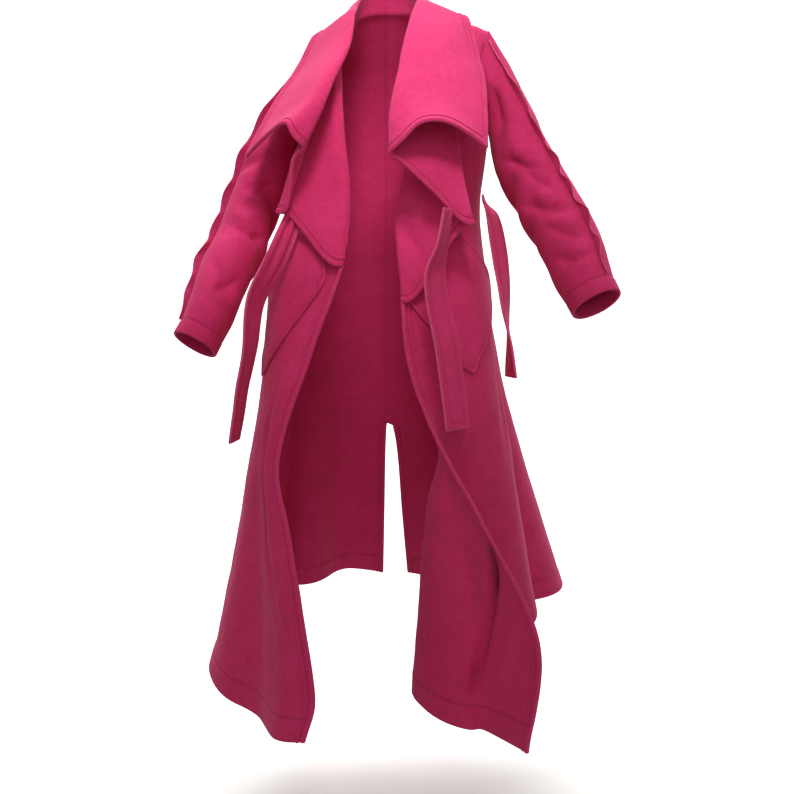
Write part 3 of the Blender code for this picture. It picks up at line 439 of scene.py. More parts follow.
# Each light: the setting of its power, its place, the point that it faces, size, colour and spread.
LIGHTS = {
    "key_light": ("key", (0.04, -1.20, 1.05), (0.0, -0.12, -0.17), 0.5, (1.0, 0.98, 0.99), 29.0),
    "fill_light": ("fill", (0.2, -3.0, 0.6), (0.0, 0.0, -0.5), 1.8, (1.0, 0.98, 0.90), 180.0),
    "wall_light": ("backdrop", (0.0, 1.7, 2.8), (0.0, 3.4, -1.0), 3.0, (1.0, 1.0, 1.0), 180.0),
}
CAMERA_PLACE = (0.02, -2.0, -0.45)
CAMERA_DOWN = 7.04          # degrees below level
SENSOR_WIDTH = 36.0
FOCAL_PIXELS = 1109.0       # focal length, in pixels of the rendered frame
RENDER_PIXELS = 794.0       # that frame's width
CAMERA_LENS = SENSOR_WIDTH * FOCAL_PIXELS / RENDER_PIXELS


# ================================================================ curves
def soft_polygon(points, parameters):
    """Quadratic B-spline that starts and ends on its polygon; one unit of parameter for each span."""
    points = np.asarray(points, float)
    spans = len(points) - 2
    knots = np.concatenate([[0.0, 0.0], np.arange(spans + 1), [spans, spans]])
    result = []
    for value in parameters:
        value = min(max(value, 0.0), spans - SHORT_OF_END)
        k = int(value) + 2
        a, b, c = points[k - 2], points[k - 1], points[k]
        left = (value - knots[k - 1]) / (knots[k + 1] - knots[k - 1])
        right = (value - knots[k]) / (knots[k + 2] - knots[k])
        first = a + (b - a) * left
        second = b + (c - b) * right
        blend = (value - knots[k]) / (knots[k + 1] - knots[k])
        result.append(first + (second - first) * blend)
    return np.array(result)


def smooth_rows(places, rows, wanted):
    """Rows of points joined smoothly: a Hermite curve with the slope of the neighbours at each row."""
    places = np.asarray(places, float)
    rows = np.asarray(rows, float)
    slopes = np.empty_like(rows)
    for i in range(len(places)):
        low = max(i - 1, 0)
        high = min(i + 1, len(places) - 1)
        slopes[i] = (rows[high] - rows[low]) / (places[high] - places[low])
    result = []
    for place in wanted:
        i = int(np.clip(np.searchsorted(places, place, side="right") - 1, 0, len(places) - 2))
        length = places[i + 1] - places[i]
        t = (place - places[i]) / length
        result.append((2 * t**3 - 3 * t**2 + 1) * rows[i] + (t**3 - 2 * t**2 + t) * length * slopes[i]
                      + (3 * t**2 - 2 * t**3) * rows[i + 1] + (t**3 - t**2) * length * slopes[i + 1])
    return np.array(result)


def stepped(places, counts):
    """Every place in a rising list, with the given number of steps from each to the next."""
    wanted = [places[0]]
    for low, high, count in zip(places[:-1], places[1:], counts):
        wanted.extend(low + (high - low) * (k + 1) / count for k in range(count))
    return wanted


def nearest(values, wanted):
    """The number of the value that lies nearest to the wanted one."""
    return int(np.argmin(abs(values - wanted)))


def line_lengths(line):
    """The distance along a line to each of its points."""
    return np.concatenate([[0.0], np.cumsum(np.linalg.norm(np.diff(line, axis=0), axis=1))])


def along_line(line, wanted):
    """Points at given distances along a line."""
    lengths = line_lengths(line)
    return np.stack([np.interp(wanted, lengths, line[:, k]) for k in range(3)], axis=1)


def by_length(line, count):
    """Points spaced evenly along a line."""
    line = np.asarray(line, float)
    return along_line(line, np.linspace(0.0, line_lengths(line)[-1], count))


def world(points, side):
    """Turn (out, fore, up) into x, y and z on one side of the coat."""
    points = np.asarray(points, float)
    return np.stack([SIGN[side] * points[..., 0], -points[..., 1], points[..., 2]], axis=-1)


def bump_curve(distance, width):
    """1 at no distance, falling softly to 0 over a width."""
    return np.exp(-(distance / width) ** 2)


def soft_step(value, low, high):
    """0 below low, 1 above high and smooth between."""
    t = np.clip((value - low) / (high - low), 0.0, 1.0)
    return t * t * (3.0 - 2.0 * t)


# ================================================================ grids of cloth
def respace(grid, axis, first, last, stops):
    """Move grid lines to the given distances from the last line; the rest keep their shares."""
    lines = grid if axis == 1 else grid.swapaxes(0, 1)
    for index in range(lines.shape[0]):
        line = lines[index, first:last + 1]
        if np.isnan(line).any():
            continue
        lengths = line_lengths(line)
        total = lengths[-1]
        kept = len(line) - len(stops)
        scale = (total - stops[-1]) / lengths[kept]
        wanted = np.concatenate([lengths[:kept] * scale, total - np.array(stops[::-1])])
        lines[index, first:last + 1] = along_line(line, wanted)


def distance_to_end(grid, axis, end):
    """For each point, the distance along its grid line to its last (end=-1) or first (end=0) point."""
    lines = grid if axis == 1 else grid.swapaxes(0, 1)
    result = np.full(lines.shape[:2], FAR)
    for index in range(lines.shape[0]):
        there = np.flatnonzero(~np.isnan(lines[index, :, 0]))
        if len(there) < 2:
            continue
        line = lines[index, there]
        lengths = line_lengths(line)
        result[index, there] = lengths[-1] - lengths if end == -1 else lengths
    return result if axis == 1 else result.T


def grid_normals(grid, closed=False):
    """Unit normals of a grid of points."""
    padded = np.concatenate([grid[:, -1:], grid, grid[:, :1]], axis=1) if closed else grid
    down = np.full(padded.shape, np.nan)
    across = np.full(padded.shape, np.nan)
    down[1:-1] = padded[2:] - padded[:-2]
    down[0] = padded[1] - padded[0]
    down[-1] = padded[-1] - padded[-2]
    across[:, 1:-1] = padded[:, 2:] - padded[:, :-2]
    across[:, 0] = padded[:, 1] - padded[:, 0]
    across[:, -1] = padded[:, -1] - padded[:, -2]
    for step, axis in ((down, 0), (across, 1)):
        forward = np.roll(padded, -1, axis=axis) - padded
        backward = padded - np.roll(padded, 1, axis=axis)
        for one_sided in (forward, backward):
            missing = np.isnan(step[..., 0]) & ~np.isnan(one_sided[..., 0])
            step[missing] = one_sided[missing]
    normals = np.cross(down, across)
    normals /= np.maximum(np.linalg.norm(normals, axis=-1, keepdims=True), TINY)
    return normals[:, 1:-1] if closed else normals


def waves(grid, size, height, seed):
    """Soft random waves over a grid, the same each run."""
    result = np.zeros(grid.shape[:2])
    for row, column in zip(*np.nonzero(~np.isnan(grid[..., 0]))):
        place = Vector(grid[row, column]) / size + Vector((seed, -seed, seed * 0.5))
        result[row, column] = noise.noise(place)
    return result * height


def unevenness(grid, table, seeds):
    """The waves of a table, one kind upon the other."""
    return sum(waves(grid, size, height, seed) for (size, height), seed in zip(table, seeds))


def crease_relief(grid, creases):
    """How far the creases draw each point of a grid in."""
    total = np.zeros(grid.shape[:2])
    for line, depth, width in creases:
        line = np.array(line)
        lengths = line_lengths(line)
        least = np.full(grid.shape[:2], FAR)
        share = np.zeros(grid.shape[:2])
        for start, step, low, high in zip(line, np.diff(line, axis=0), lengths[:-1], lengths[1:]):
            along = np.clip(((grid - start) @ step) / (step @ step), 0.0, 1.0)
            distance = np.linalg.norm(grid - start - along[..., None] * step, axis=-1)
            nearer = distance < least
            least = np.where(nearer, distance, least)
            share = np.where(nearer, (low + along * (high - low)) / lengths[-1], share)
        top, tail = (CREASE_END_DEPTH + (1.0 - CREASE_END_DEPTH) * soft_step(way, 0.0, CREASE_END)
                     for way in (share, 1.0 - share))
        total += depth * bump_curve(least, width) * (top * tail)
    return total


def moved_line(line, before, after):
    """A line on the cloth, followed to where it lies once the cloth is moved."""
    result = []
    for point in line:
        distance = np.nan_to_num(np.linalg.norm(before - point, axis=-1), nan=FAR)
        result.append(after[np.unravel_index(np.argmin(distance), distance.shape)])
    return np.array(result)


def soft_shoulder(grid, side):
    """Round the shoulder's tip, where front, back and sleeve meet."""
    near = bump_curve(np.linalg.norm(grid - np.array(RAILS[side]["side"][0]), axis=-1), TIP_REACH)
    return grid + near[..., None] * np.array(TIP_MOVE)


class Sheet:
    """A piece of cloth: its middle surface, its thickness and the lines that its stitches follow."""

    def __init__(self, name, grid, wall=WALL, closed=False):
        self.name = name
        self.grid = grid
        self.closed = closed
        self.wall = np.full(grid.shape[:2], wall)
        self.shade = np.zeros(grid.shape[:2])
        self.stitches = []

    def push(self, amount):
        """Move the surface along its normals."""
        self.grid = self.grid + grid_normals(self.grid, self.closed) * amount[..., None]

    def turn_edge(self, distance, stitch, width, extra=TURNED_EXTRA):
        """Thicken the cloth where its edge is turned, drawn in at the stitches and where that ends."""
        inside = 1.0 - soft_step(distance, width - EDGE_STEP[0], width + EDGE_STEP[1])
        self.wall = np.maximum(self.wall, WALL + extra * inside)
        self.groove(distance - stitch, GROOVE_DEPTH, GROOVE_WIDTH)
        if width - stitch > 2 * GROOVE_WIDTH:
            self.groove(distance - width - BAND_OFFSET, BAND_DEPTH, GROOVE_WIDTH)

    def groove(self, distance, depth, width):
        """Thin the cloth along a line and paint shade into its colour there."""
        line = bump_curve(distance, width)
        self.wall *= 1.0 - depth * line
        self.shade = np.maximum(self.shade, line * min(1.0, depth * GROOVE_SHADE))

    def stitch(self, rows, columns):
        """A row of stitches through the given grid points."""
        self.stitches.append((np.asarray(rows), np.asarray(columns)))


def next_column(index, closed):
    """The number of each point's neighbour in the next column, or -1 where there is none."""
    if closed:
        return np.roll(index, -1, axis=1)
    return np.pad(index[:, 1:], ((0, 0), (0, 1)), constant_values=-1)


def open_edges(quads):
    """The edges that only one face has, each in that face's direction."""
    edges = {}
    for a, b, c, d in quads:
        for pair in ((a, b), (b, c), (c, d), (d, a)):
            if pair[::-1] in edges:
                del edges[pair[::-1]]
            else:
                edges[pair] = True
    return list(edges)


def add_attribute(mesh, name, kind, values):
    """Give every point of a mesh a named value."""
    attribute = mesh.attributes.new(name, kind, "POINT")
    field = "vector" if kind == "FLOAT_VECTOR" else "value"
    attribute.data.foreach_set(field, np.array(values, np.float32).ravel())


def add_object(name, data):
    """Put an object with the given mesh, light or camera into the scene."""
    result = bpy.data.objects.new(name, data)
    bpy.context.scene.collection.objects.link(result)
    return result


def shell(sheet, side=None):
    """The closed mesh of a sheet: its two faces and a rounded rim, with the shade painted along its
    grooves, folds and raised seams.
    """
    grid = world(sheet.grid, side) if side else sheet.grid
    normals = grid_normals(grid, sheet.closed)
    rows, columns = grid.shape[:2]
    valid = ~np.isnan(grid[..., 0])
    index = np.full((rows, columns), -1)
    index[valid] = np.arange(valid.sum())
    count = int(valid.sum())
    half = (sheet.wall / 2)[valid][:, None]
    middle = grid[valid]
    normal = normals[valid]
    right = next_column(index, sheet.closed)
    below = np.pad(index[1:], ((0, 1), (0, 0)), constant_values=-1)
    corner = next_column(below, sheet.closed)
    quads = np.stack([index, below, corner, right], axis=-1).reshape(-1, 4)
    quads = quads[(quads >= 0).all(axis=1)]
    edges = open_edges(quads.tolist())
    away = np.zeros((count, 3))
    for a, b in edges:
        outward = np.cross(middle[b] - middle[a], normal[a] + normal[b])
        outward /= max(np.linalg.norm(outward), TINY)
        away[a] += outward
        away[b] += outward
    rim = sorted({vertex for pair in edges for vertex in pair})
    place = {vertex: number for number, vertex in enumerate(rim)}
    points = [middle + normal * half, middle - normal * half]
    lengths = np.linalg.norm(away[rim], axis=1, keepdims=True)
    outward = away[rim] / np.maximum(lengths, TINY)
    outward -= normal[rim] * np.sum(outward * normal[rim], axis=1, keepdims=True)
    for step in range(1, RIM_STEPS):
        angle = math.pi * step / RIM_STEPS
        points.append(middle[rim] + (normal[rim] * math.cos(angle) + outward * math.sin(angle)) * half[rim])
    faces = quads.tolist() + (quads[:, ::-1] + count).tolist()

    def chain(vertex):
        """The points round the rim, from one face to the other."""
        between = [2 * count + step * len(rim) + place[vertex] for step in range(RIM_STEPS - 1)]
        return [vertex, *between, vertex + count]

    for a, b in edges:
        chain_a = chain(a)
        chain_b = chain(b)
        for step in range(RIM_STEPS):
            faces.append([chain_b[step], chain_a[step], chain_a[step + 1], chain_b[step + 1]])
    mesh = bpy.data.meshes.new(sheet.name)
    mesh.from_pydata(np.concatenate(points).tolist(), [], faces)
    # The painted shade, on both faces; none on the rim.
    shade = sheet.shade[valid]
    rim_points = len(rim) * (RIM_STEPS - 1)
    add_attribute(mesh, "seam_shade", "FLOAT", np.concatenate([shade, shade, np.zeros(rim_points)]))
    inner = np.concatenate([np.zeros(count), np.ones(count), np.full(rim_points, 0.5)])
    add_attribute(mesh, "wrong_side", "FLOAT", inner)
    mesh.shade_smooth()
    return add_object(sheet.name, mesh)


# ================================================================ fronts
def front_section(side, row):
    """The front's polygon at one row of UPPER, from the side seam to the collar's outer edge."""
    rails = RAILS[side]
    seam, low, out, roll, edge = (np.array(rails[name][row]) for name in
                                  ("side", "fold_low", "fold_out", "roll", "edge"))
    arch = np.array((0.0, COLLAR_SWELL[side][row], COLLAR_ARCH[side][row]))
    fall = [roll + (edge - roll) * share + arch * bow for share, bow in COLLAR_SHARES[side]]
    if row == 0:
        neck = np.array(NECK_POINT[side])
        line = [seam + (neck - seam) * place for place in SHOULDER_PLACES]
        stand = neck + (roll - neck) * STAND_SHARE
        turn = roll + (edge - roll) * TURN_SHARE + np.array((0.0, 0.0, TURN_UP))
        return line + [stand, roll, turn] + fall + [edge]
    reach = np.array((FOLD_REACH[row], 0.0, 0.0))
    depth = np.array((0.0, FOLD_DEPTH[row] / 2, 0.0))
    chest = low + reach - depth
    across = chest - seam
    first = seam + across * np.array(CHEST_SHARES[0])
    second = seam + across * np.array(CHEST_SHARES[1]) + np.array((0.0, BUST[row], 0.0))
    points = [seam, first, second, chest, low, low + reach + depth]
    points += [(low + out) / 2, out - reach - depth, out, out - reach + depth]
    lift = np.array((0.0, 0.0, ROLL_LIFT[row]))
    points += [(out + roll) / 2, roll + reach - depth - lift, roll - lift * ROLL_SINK]
    return points + [roll + reach + depth + lift] + fall + [edge]


def lower_section(side, row):
    """The front's polygon at one row below the cascade, from the side seam to the free edge."""
    place, side_up, edge_up = row[:3]
    flat = np.array(row[3:])
    lengths = line_lengths(flat)
    shares = lengths / lengths[-1]
    sag = HEM_SAG[side] * (place - 1.0) ** 2 * np.sin(math.pi * shares ** HEM_LEAN)
    heights = side_up + (edge_up - side_up) * shares - sag
    return np.column_stack([flat, heights])


def collar_place(place, start, back):
    """A point of the collar on a quarter round from the shoulder (place 0) to centre back (-1)."""
    angle = -place * math.pi / 2
    out = start[0] * math.cos(angle)
    fore = start[1] + (back[0] - start[1]) * math.sin(angle)
    up = start[2] + (back[1] - start[2]) * math.sin(angle)
    return out, fore, up


def rounded(seam, below, lifts):
    """The row just below the shoulder seam, lifted to round the shoulder."""
    row = seam + (below - seam) * ROUND_SHARE
    columns, heights = zip(*lifts)
    row[:, 2] += np.interp(np.arange(len(row)), columns, heights)
    return row


class Front:
    """One front with its half of the collar: rows from centre back over the shoulder to the hem."""

    def __init__(self, side):
        self.side = side
        self.shaded = []
        spans = len(SHOULDER_PLACES) + COLLAR_POINTS - 2
        steps = list(BODY_SPANS) + [LAYER_STEPS] * (spans - len(BODY_SPANS))
        parameters = np.array(stepped(range(spans + 1), steps))
        self.fold = nearest(parameters, FOLD_SPAN)
        self.neck = nearest(parameters, NECK_SPAN)
        self.roll = nearest(parameters, ROLL_SPAN)
        self.last = len(parameters) - 1
        upper = self.upper_rows(parameters)
        lower = self.lower_rows(LOWER_LEFT if side == "left" else LOWER_RIGHT)
        upper_wanted = stepped(list(upper), UPPER_STEPS)
        lower_wanted = stepped([1.0, *lower], LOWER_STEPS[side])[1:]
        collar_wanted = [-(COLLAR_ROWS - k) / COLLAR_ROWS for k in range(COLLAR_ROWS)]
        self.places = collar_wanted + upper_wanted + lower_wanted
        self.top = len(collar_wanted)
        self.hang = self.top + len(upper_wanted) - 1
        self.grid = np.full((len(self.places), len(parameters), 3), np.nan)
        self.grid[self.top:self.hang + 1] = smooth_rows(list(upper), list(upper.values()), upper_wanted)
        body = [row[:self.fold + 1] for row in upper.values()] + list(lower.values())
        self.grid[self.top:, :self.fold + 1] = smooth_rows([*upper, *lower], body,
                                                           upper_wanted + lower_wanted)
        self.lay_collar(upper[0.0], parameters[self.neck:] - parameters[self.neck])
        self.draw_together()

    def upper_rows(self, parameters):
        """Each place from the shoulder to the hanging edge, with its row of points."""
        sections = [soft_polygon(front_section(self.side, row), parameters) for row in range(len(UPPER))]
        lifts = zip((0, nearest(parameters, THIRD_SPAN), self.neck, self.last), FRONT_ROUND)
        rows = [sections[0], rounded(sections[0], sections[1], lifts)] + sections[1:]
        return dict(zip((UPPER[0], ROUND_ROW, *UPPER[1:]), rows))

    def lower_rows(self, table):
        """Each place below the cascade, with its row of points from the side seam to the edge."""
        across = np.linspace(0.0, len(table["columns"]) - 2, self.fold + 1)
        return {row[0]: soft_polygon(lower_section(self.side, row), across) for row in table["rows"]}

    def lay_collar(self, shoulder, steps):
        """Carry the collar on from the shoulder line round the neck to centre back."""
        back_line = soft_polygon(COLLAR_BACK, steps / steps[-1] * (len(COLLAR_BACK) - 2))
        for index, place in enumerate(self.places[:self.top]):
            for number, back in enumerate(back_line):
                column = self.neck + number
                self.grid[index, column] = collar_place(place, shoulder[column], back)

    def draw_together(self):
        """Bring the grid lines closer towards the front edge, below the cascade."""
        dense = 1.0 - (1.0 - np.linspace(0.0, 1.0, self.fold + 1)) ** EDGE_DENSITY
        for index, place in enumerate(self.places):
            blend = soft_step(place, *DENSE_ROWS)
            if blend > 0.0:
                line = self.grid[index, :self.fold + 1]
                lengths = line_lengths(line)
                wanted = lengths + (dense * lengths[-1] - lengths) * blend
                self.grid[index, :self.fold + 1] = along_line(line, wanted)

    def seam_point(self, place):
        """The side seam and the front edge of the armhole, by place."""
        places = self.places[self.top:]
        return np.array([np.interp(place, places, self.grid[self.top:, 0, k]) for k in range(3)])


def lay_out(front, grid):
    """Give the grid its crisp lines along every free edge."""
    respace(grid[front.top:], 1, front.fold // 2, front.fold, EDGE_STOPS)
    respace(grid[:front.hang + 1], 1, front.roll, front.last, EDGE_STOPS)
    start = front.top + sum(UPPER_STEPS[:-1])
    respace(grid, 0, start, front.hang, EDGE_STOPS)
    start = len(front.places) - 1 - LOWER_STEPS[front.side][-1]
    respace(grid[:, :front.fold + 1], 0, start, len(front.places) - 1, HEM_STOPS)


def pull_back(grid, edge, inward, distance):
    """Move the points of one grid line towards another line by a distance."""
    step = grid[inward] - grid[edge]
    length = np.linalg.norm(step, axis=-1, keepdims=True)
    grid[edge] = grid[edge] + step / np.maximum(length, TINY) * distance


def front_sheet(front):
    """The front as a sheet with its turned edges, hem and stitch lines."""
    grid = front.grid.copy()
    lay_out(front, grid)
    top, hang, fold, neck, last = front.top, front.hang, front.fold, front.neck, front.last
    bottom = len(front.places) - 1
    column_numbers = np.arange(last + 1)[None, :]
    pull_back(grid, np.s_[top:, 0], np.s_[top:, 1], SEAM_TUCK)
    pull_back(grid, np.s_[top, :neck], np.s_[top + 1, :neck], SEAM_TUCK)
    pull_back(grid, np.s_[:top, neck], np.s_[:top, neck + 1], SEAM_TUCK)
    pull_back(grid, np.s_[0, neck:], np.s_[1, neck:], SEAM_TUCK / 2)
    sheet = Sheet("coat_front_" + front.side, grid)
    edge = distance_to_end(grid, 1, -1)
    down = distance_to_end(grid, 0, -1)
    free = np.where(column_numbers > fold, down, FAR)
    free[:top] = FAR
    hem = np.where(column_numbers <= fold, down, FAR)
    corner = np.nan_to_num(np.linalg.norm(grid - grid[hang, fold], axis=-1), nan=FAR)
    corner[:, fold + 1:] = FAR
    corner[hang + 1:] = FAR
    sheet.turn_edge(hem, HEM_STITCH, HEM_WIDTH, HEM_EXTRA)
    sheet.turn_edge(np.minimum.reduce([edge, free, corner]), EDGE_STITCH, EDGE_WIDTH)
    # Painted shade in the deep folds.
    sheet.shade = np.maximum(sheet.shade, np.nan_to_num(crease_relief(grid, front.shaded)))
    line = EDGE_STOPS.index(EDGE_STITCH)
    hem_line = HEM_STOPS.index(HEM_STITCH)
    route = [(row, last - line) for row in range(hang - line + 1)]
    route += [(hang - line, column) for column in range(last - line - 1, fold - 1, -1)]
    route += [(row, fold - line) for row in range(hang, bottom + 1 - line)]
    sheet.stitch(*zip(*route))
    sheet.stitch([bottom - hem_line] * (fold - line), range(fold - line))
    return sheet


# ================================================================ backs
class Back:
    """One back half, whose edges are the front's own seams and the collar's neck seam."""

    def __init__(self, side, front):
        self.side = side
        self.places = [place for place in front.places if place >= 0.0]
        self.vent = next(index for index, place in enumerate(self.places) if place > VENT_TOP)
        self.shares = np.linspace(0.0, 1.0, BACK_COLUMNS + 1)
        rows = self.upper_rows(front)
        rows.update(self.lower_rows(front, rows[1.0]))
        self.grid = smooth_rows(list(rows), list(rows.values()), self.places)
        for index, place in enumerate(self.places):
            if place >= UNDERARM_ROW:
                self.meet_seam(self.grid[index], front.seam_point(place))
            if place <= VENT_TOP:
                self.grid[index, 0, 0] = 0.0

    def meet_seam(self, row, seam):
        """Draw a row out softly until it ends on the side seam."""
        row += (seam - row[-1]) * self.shares[:, None] ** 3

    def upper_rows(self, front):
        """Each place from the neck and shoulder to the hip, with its row from centre back."""
        neck = by_length(front.grid[:front.top + 1, front.neck], NECK_COLUMNS + 1)
        shoulder = by_length(front.grid[front.top, :front.neck + 1][::-1], BACK_COLUMNS - NECK_COLUMNS + 1)
        places = [0.0]
        rows = [np.concatenate([neck, shoulder[1:]])]
        angles = np.linspace(0.0, math.pi / 2, BACK_COLUMNS + 1)
        for place, fore, up in BACK_ROWS:
            seam = front.seam_point(place)
            if place == ARMHOLE_ROW:
                seam = seam + np.array(ARMHOLE_BACK)
            out = seam[0] * np.sin(angles) ** BACK_SQUARENESS
            depth = seam[1] + (fore - seam[1]) * np.cos(angles) ** BACK_SQUARENESS
            height = up + (seam[2] - up) * (angles / angles[-1]) ** 2
            places.append(place)
            rows.append(np.column_stack([out, depth, height]))
        places.insert(1, ROUND_ROW)
        rows.insert(1, rounded(rows[0], rows[1], zip((0, NECK_COLUMNS, BACK_COLUMNS), BACK_ROUND)))
        return dict(zip(places, rows))

    def lower_rows(self, front, hip):
        """Each place below the hip, with its row on the way to the hem's outline."""
        flat = np.array(BACK_HEM[self.side])
        outline = np.column_stack([flat, np.full(len(flat), BACK_HEM_UP)])
        hem = soft_polygon(outline, np.linspace(0.0, len(flat) - 2, BACK_COLUMNS + 1))
        rows = {}
        for place in BACK_LOWER_ROWS:
            row = hip + (hem - hip) * (place - 1.0) ** BACK_EASE
            row[:, 2] = hip[:, 2] + (hem[:, 2] - hip[:, 2]) * (place - 1.0)
            self.meet_seam(row, front.seam_point(place))
            if place <= VENT_TOP:
                row[:, 0] -= row[0, 0] * (1.0 - self.shares) ** 2
            rows[place] = row
        return rows


def back_sheet(back):
    """The back half as a sheet, with its vent edge, hem and centre seam."""
    grid = back.grid.copy()
    bottom = len(back.places) - 1
    even = grid.copy()
    respace(grid[:, ::-1], 1, BACK_COLUMNS // 2, BACK_COLUMNS, EDGE_STOPS)
    grid = even + (grid - even) * soft_step(np.array(back.places), *VENT_BLEND)[:, None, None]
    respace(grid, 0, bottom - LOWER_STEPS[back.side][-1], bottom, HEM_STOPS)
    pull_back(grid, np.s_[:, -1], np.s_[:, -2], SEAM_TUCK)
    pull_back(grid, np.s_[0], np.s_[1], SEAM_TUCK)
    pull_back(grid, np.s_[:back.vent, 0], np.s_[:back.vent, 1], SEAM_TUCK / 2)
    sheet = Sheet("coat_back_" + back.side, grid)
    middle = distance_to_end(grid, 1, 0)
    sheet.groove(middle, *SEAM_GROOVES["centre"])
    sheet.groove(distance_to_end(grid, 1, -1), *SEAM_GROOVES["side"])
    vent = middle.copy()
    vent[:back.vent] = np.hypot(middle[:back.vent], np.linalg.norm(
        grid[:back.vent, :1] - grid[back.vent, 0], axis=-1))
    sheet.turn_edge(distance_to_end(grid, 0, -1), HEM_STITCH, HEM_WIDTH, HEM_EXTRA)
    sheet.turn_edge(vent, EDGE_STITCH, EDGE_WIDTH)
    line = EDGE_STOPS.index(EDGE_STITCH)
    hem_line = HEM_STOPS.index(HEM_STITCH)
    sheet.stitch(range(back.vent, bottom), [line] * (bottom - back.vent))
    sheet.stitch([bottom - hem_line] * (BACK_COLUMNS - line), range(line, BACK_COLUMNS))
    return sheet


# ================================================================ sleeves
def elbow_depth(place, angle):
    """How deep the creases of the sleeve are at a place down it and an angle round it."""
    total = 0.0
    for at, towards, depth, width, spread in SLEEVE_CREASES:
        turn = (angle - towards + 180.0) % 360.0 - 180.0
        along = place - at - CREASE_SLANT * turn
        total += depth * math.exp(-(along / width) ** 2 - (turn / spread) ** 2)
    return total


def armhole_ring(front, back):
    """The armhole's edge, down the front and up the back, a little clear of both."""
    half = SLEEVE_AROUND // 2
    rows = [row for row, place in enumerate(front.places) if 0.0 <= place <= UNDERARM_ROW]
    front_line = by_length(front.grid[rows, 0], half + 1)
    rows = [row for row, place in enumerate(back.places) if place <= UNDERARM_ROW]
    back_line = by_length(back.grid[rows[::-1], -1], half + 1)
    return np.concatenate([front_line[:-1], back_line[:-1]]) + np.array((ARMHOLE_CLEAR, 0.0, 0.0))


class Sleeve:
    """Rings from the armhole to the cuff, joined smoothly along the arm."""

    def __init__(self, side, front, back):
        self.side = side
        around = np.linspace(0.0, 2 * math.pi, SLEEVE_AROUND + 1)[:-1]
        ring = armhole_ring(front, back)
        stations = np.array(SLEEVES[side])
        centres = np.vstack([ring.mean(axis=0), stations[:, :3]])
        knot_places = line_lengths(centres)
        knot_places /= knot_places[-1]
        knots = [ring]
        for index in range(1, len(centres)):
            step = centres[min(index + 1, len(centres) - 1)] - centres[index - 1]
            axis = step / np.linalg.norm(step)
            outward = np.array((1.0, 0.0, 0.0)) - axis * axis[0]
            outward /= np.linalg.norm(outward)
            forward = np.cross(axis, outward)
            forward *= np.sign(forward[1])
            half_width, half_depth = stations[index - 1, 3:]
            knots.append(centres[index] + np.cos(around)[:, None] * outward * half_width
                         + np.sin(around)[:, None] * forward * half_depth)
        self.places = stepped(list(knot_places), [SLEEVE_ROWS] * (len(knot_places) - 1))
        grid = smooth_rows(knot_places, knots, self.places)
        for row, place in enumerate(self.places):
            middle = grid[row].mean(axis=0)
            for column, angle in enumerate(np.degrees(around)):
                spoke = grid[row, column] - middle
                head = SLEEVE_HEAD * math.sin(math.pi * min(place / HEAD_SHARE, 1.0))
                head *= max(0.0, math.cos(math.radians(angle)))
                grid[row, column] += spoke / np.linalg.norm(spoke) * (head - elbow_depth(place, angle))
        self.grid = grid

    def ring_point(self, row, angle):
        """A point, the outward direction and the direction round the ring, between its own points."""
        ring = self.grid[row]
        position = (angle % 360.0) / 360.0 * SLEEVE_AROUND
        low = int(position) % SLEEVE_AROUND
        along = ring[(low + 1) % SLEEVE_AROUND] - ring[low]
        point = ring[low] + along * (position - int(position))
        along = along / np.linalg.norm(along)
        spoke = point - ring.mean(axis=0)
        spoke = spoke - along * (spoke @ along)
        return point, spoke / np.linalg.norm(spoke), along


def sleeve_sheet(sleeve):
    """The sleeve as a sheet, with its armhole seam and turned cuff."""
    grid = sleeve.grid.copy()
    last = len(sleeve.places) - 1
    respace(grid, 0, last - SLEEVE_ROWS, last, CUFF_STOPS)
    sheet = Sheet("coat_sleeve_" + sleeve.side, grid, closed=True)
    sheet.groove(distance_to_end(grid, 0, 0), *SEAM_GROOVES["armhole"])
    sheet.turn_edge(distance_to_end(grid, 0, -1), CUFF_STITCH, CUFF_WIDTH, HEM_EXTRA)
    line = last - CUFF_STOPS.index(CUFF_STITCH)
    sheet.stitch([line] * (SLEEVE_AROUND + 1), [*range(SLEEVE_AROUND), 0])
    return sheet


def fin_sheet(sleeve, name, top_angle, cuff_angle):
    """The raised seam allowance that stands in waves on a lengthwise seam of the sleeve."""
    rows = []
    for row in range(FIN_START, len(sleeve.places) - FIN_END):
        place = sleeve.places[row]
        angle = cuff_angle + (top_angle - cuff_angle) * (1.0 - place) ** FIN_BEND
        point, spoke, along = sleeve.ring_point(row, angle)
        phase = place * FIN_WAVES * 2 * math.pi + math.radians(angle)
        ends = soft_step(place, *FIN_ENDS[0]) * (1.0 - soft_step(place, *FIN_ENDS[1]))
        wave = sum(math.sin(phase * pace + start) * share for pace, start, share in FIN_RIPPLES)
        wave *= FIN_WAVE[sleeve.side] * ends
        height = FIN_HEIGHT[sleeve.side] * (FIN_END_HEIGHT + (1.0 - FIN_END_HEIGHT) * ends)
        height += math.sin(phase * FIN_SWELL_PACE[0] + FIN_SWELL_PACE[1]) * FIN_SWELL * ends
        low = point + spoke * (WALL / 2 - FIN_SINK)
        rows.append([low + spoke * height * share + along * wave * share ** FIN_CURL
                     for share in np.linspace(0.0, 1.0, FIN_ROWS + 1)])
    grid = np.array(rows)
    sheet = Sheet("coat_sleeve_" + sleeve.side + "_" + name, grid, wall=FIN_WALL)
    # Painted shade over the whole raised seam.
    sheet.shade[:] = FIN_SHADE
    sheet.stitch(range(len(rows)), [1] * len(rows))
    return sheet


# ================================================================ pockets and ties
def grid_point(points, place, across):
    """A point of a panel's own facets, by fractional row and column."""
    row = min(int(place), points.shape[0] - 2)
    column = min(int(across), points.shape[1] - 2)
    u = place - row
    v = across - column
    top = points[row, column] * (1 - v) + points[row, column + 1] * v
    bottom = points[row + 1, column] * (1 - v) + points[row + 1, column + 1] * v
    return top * (1 - u) + bottom * u


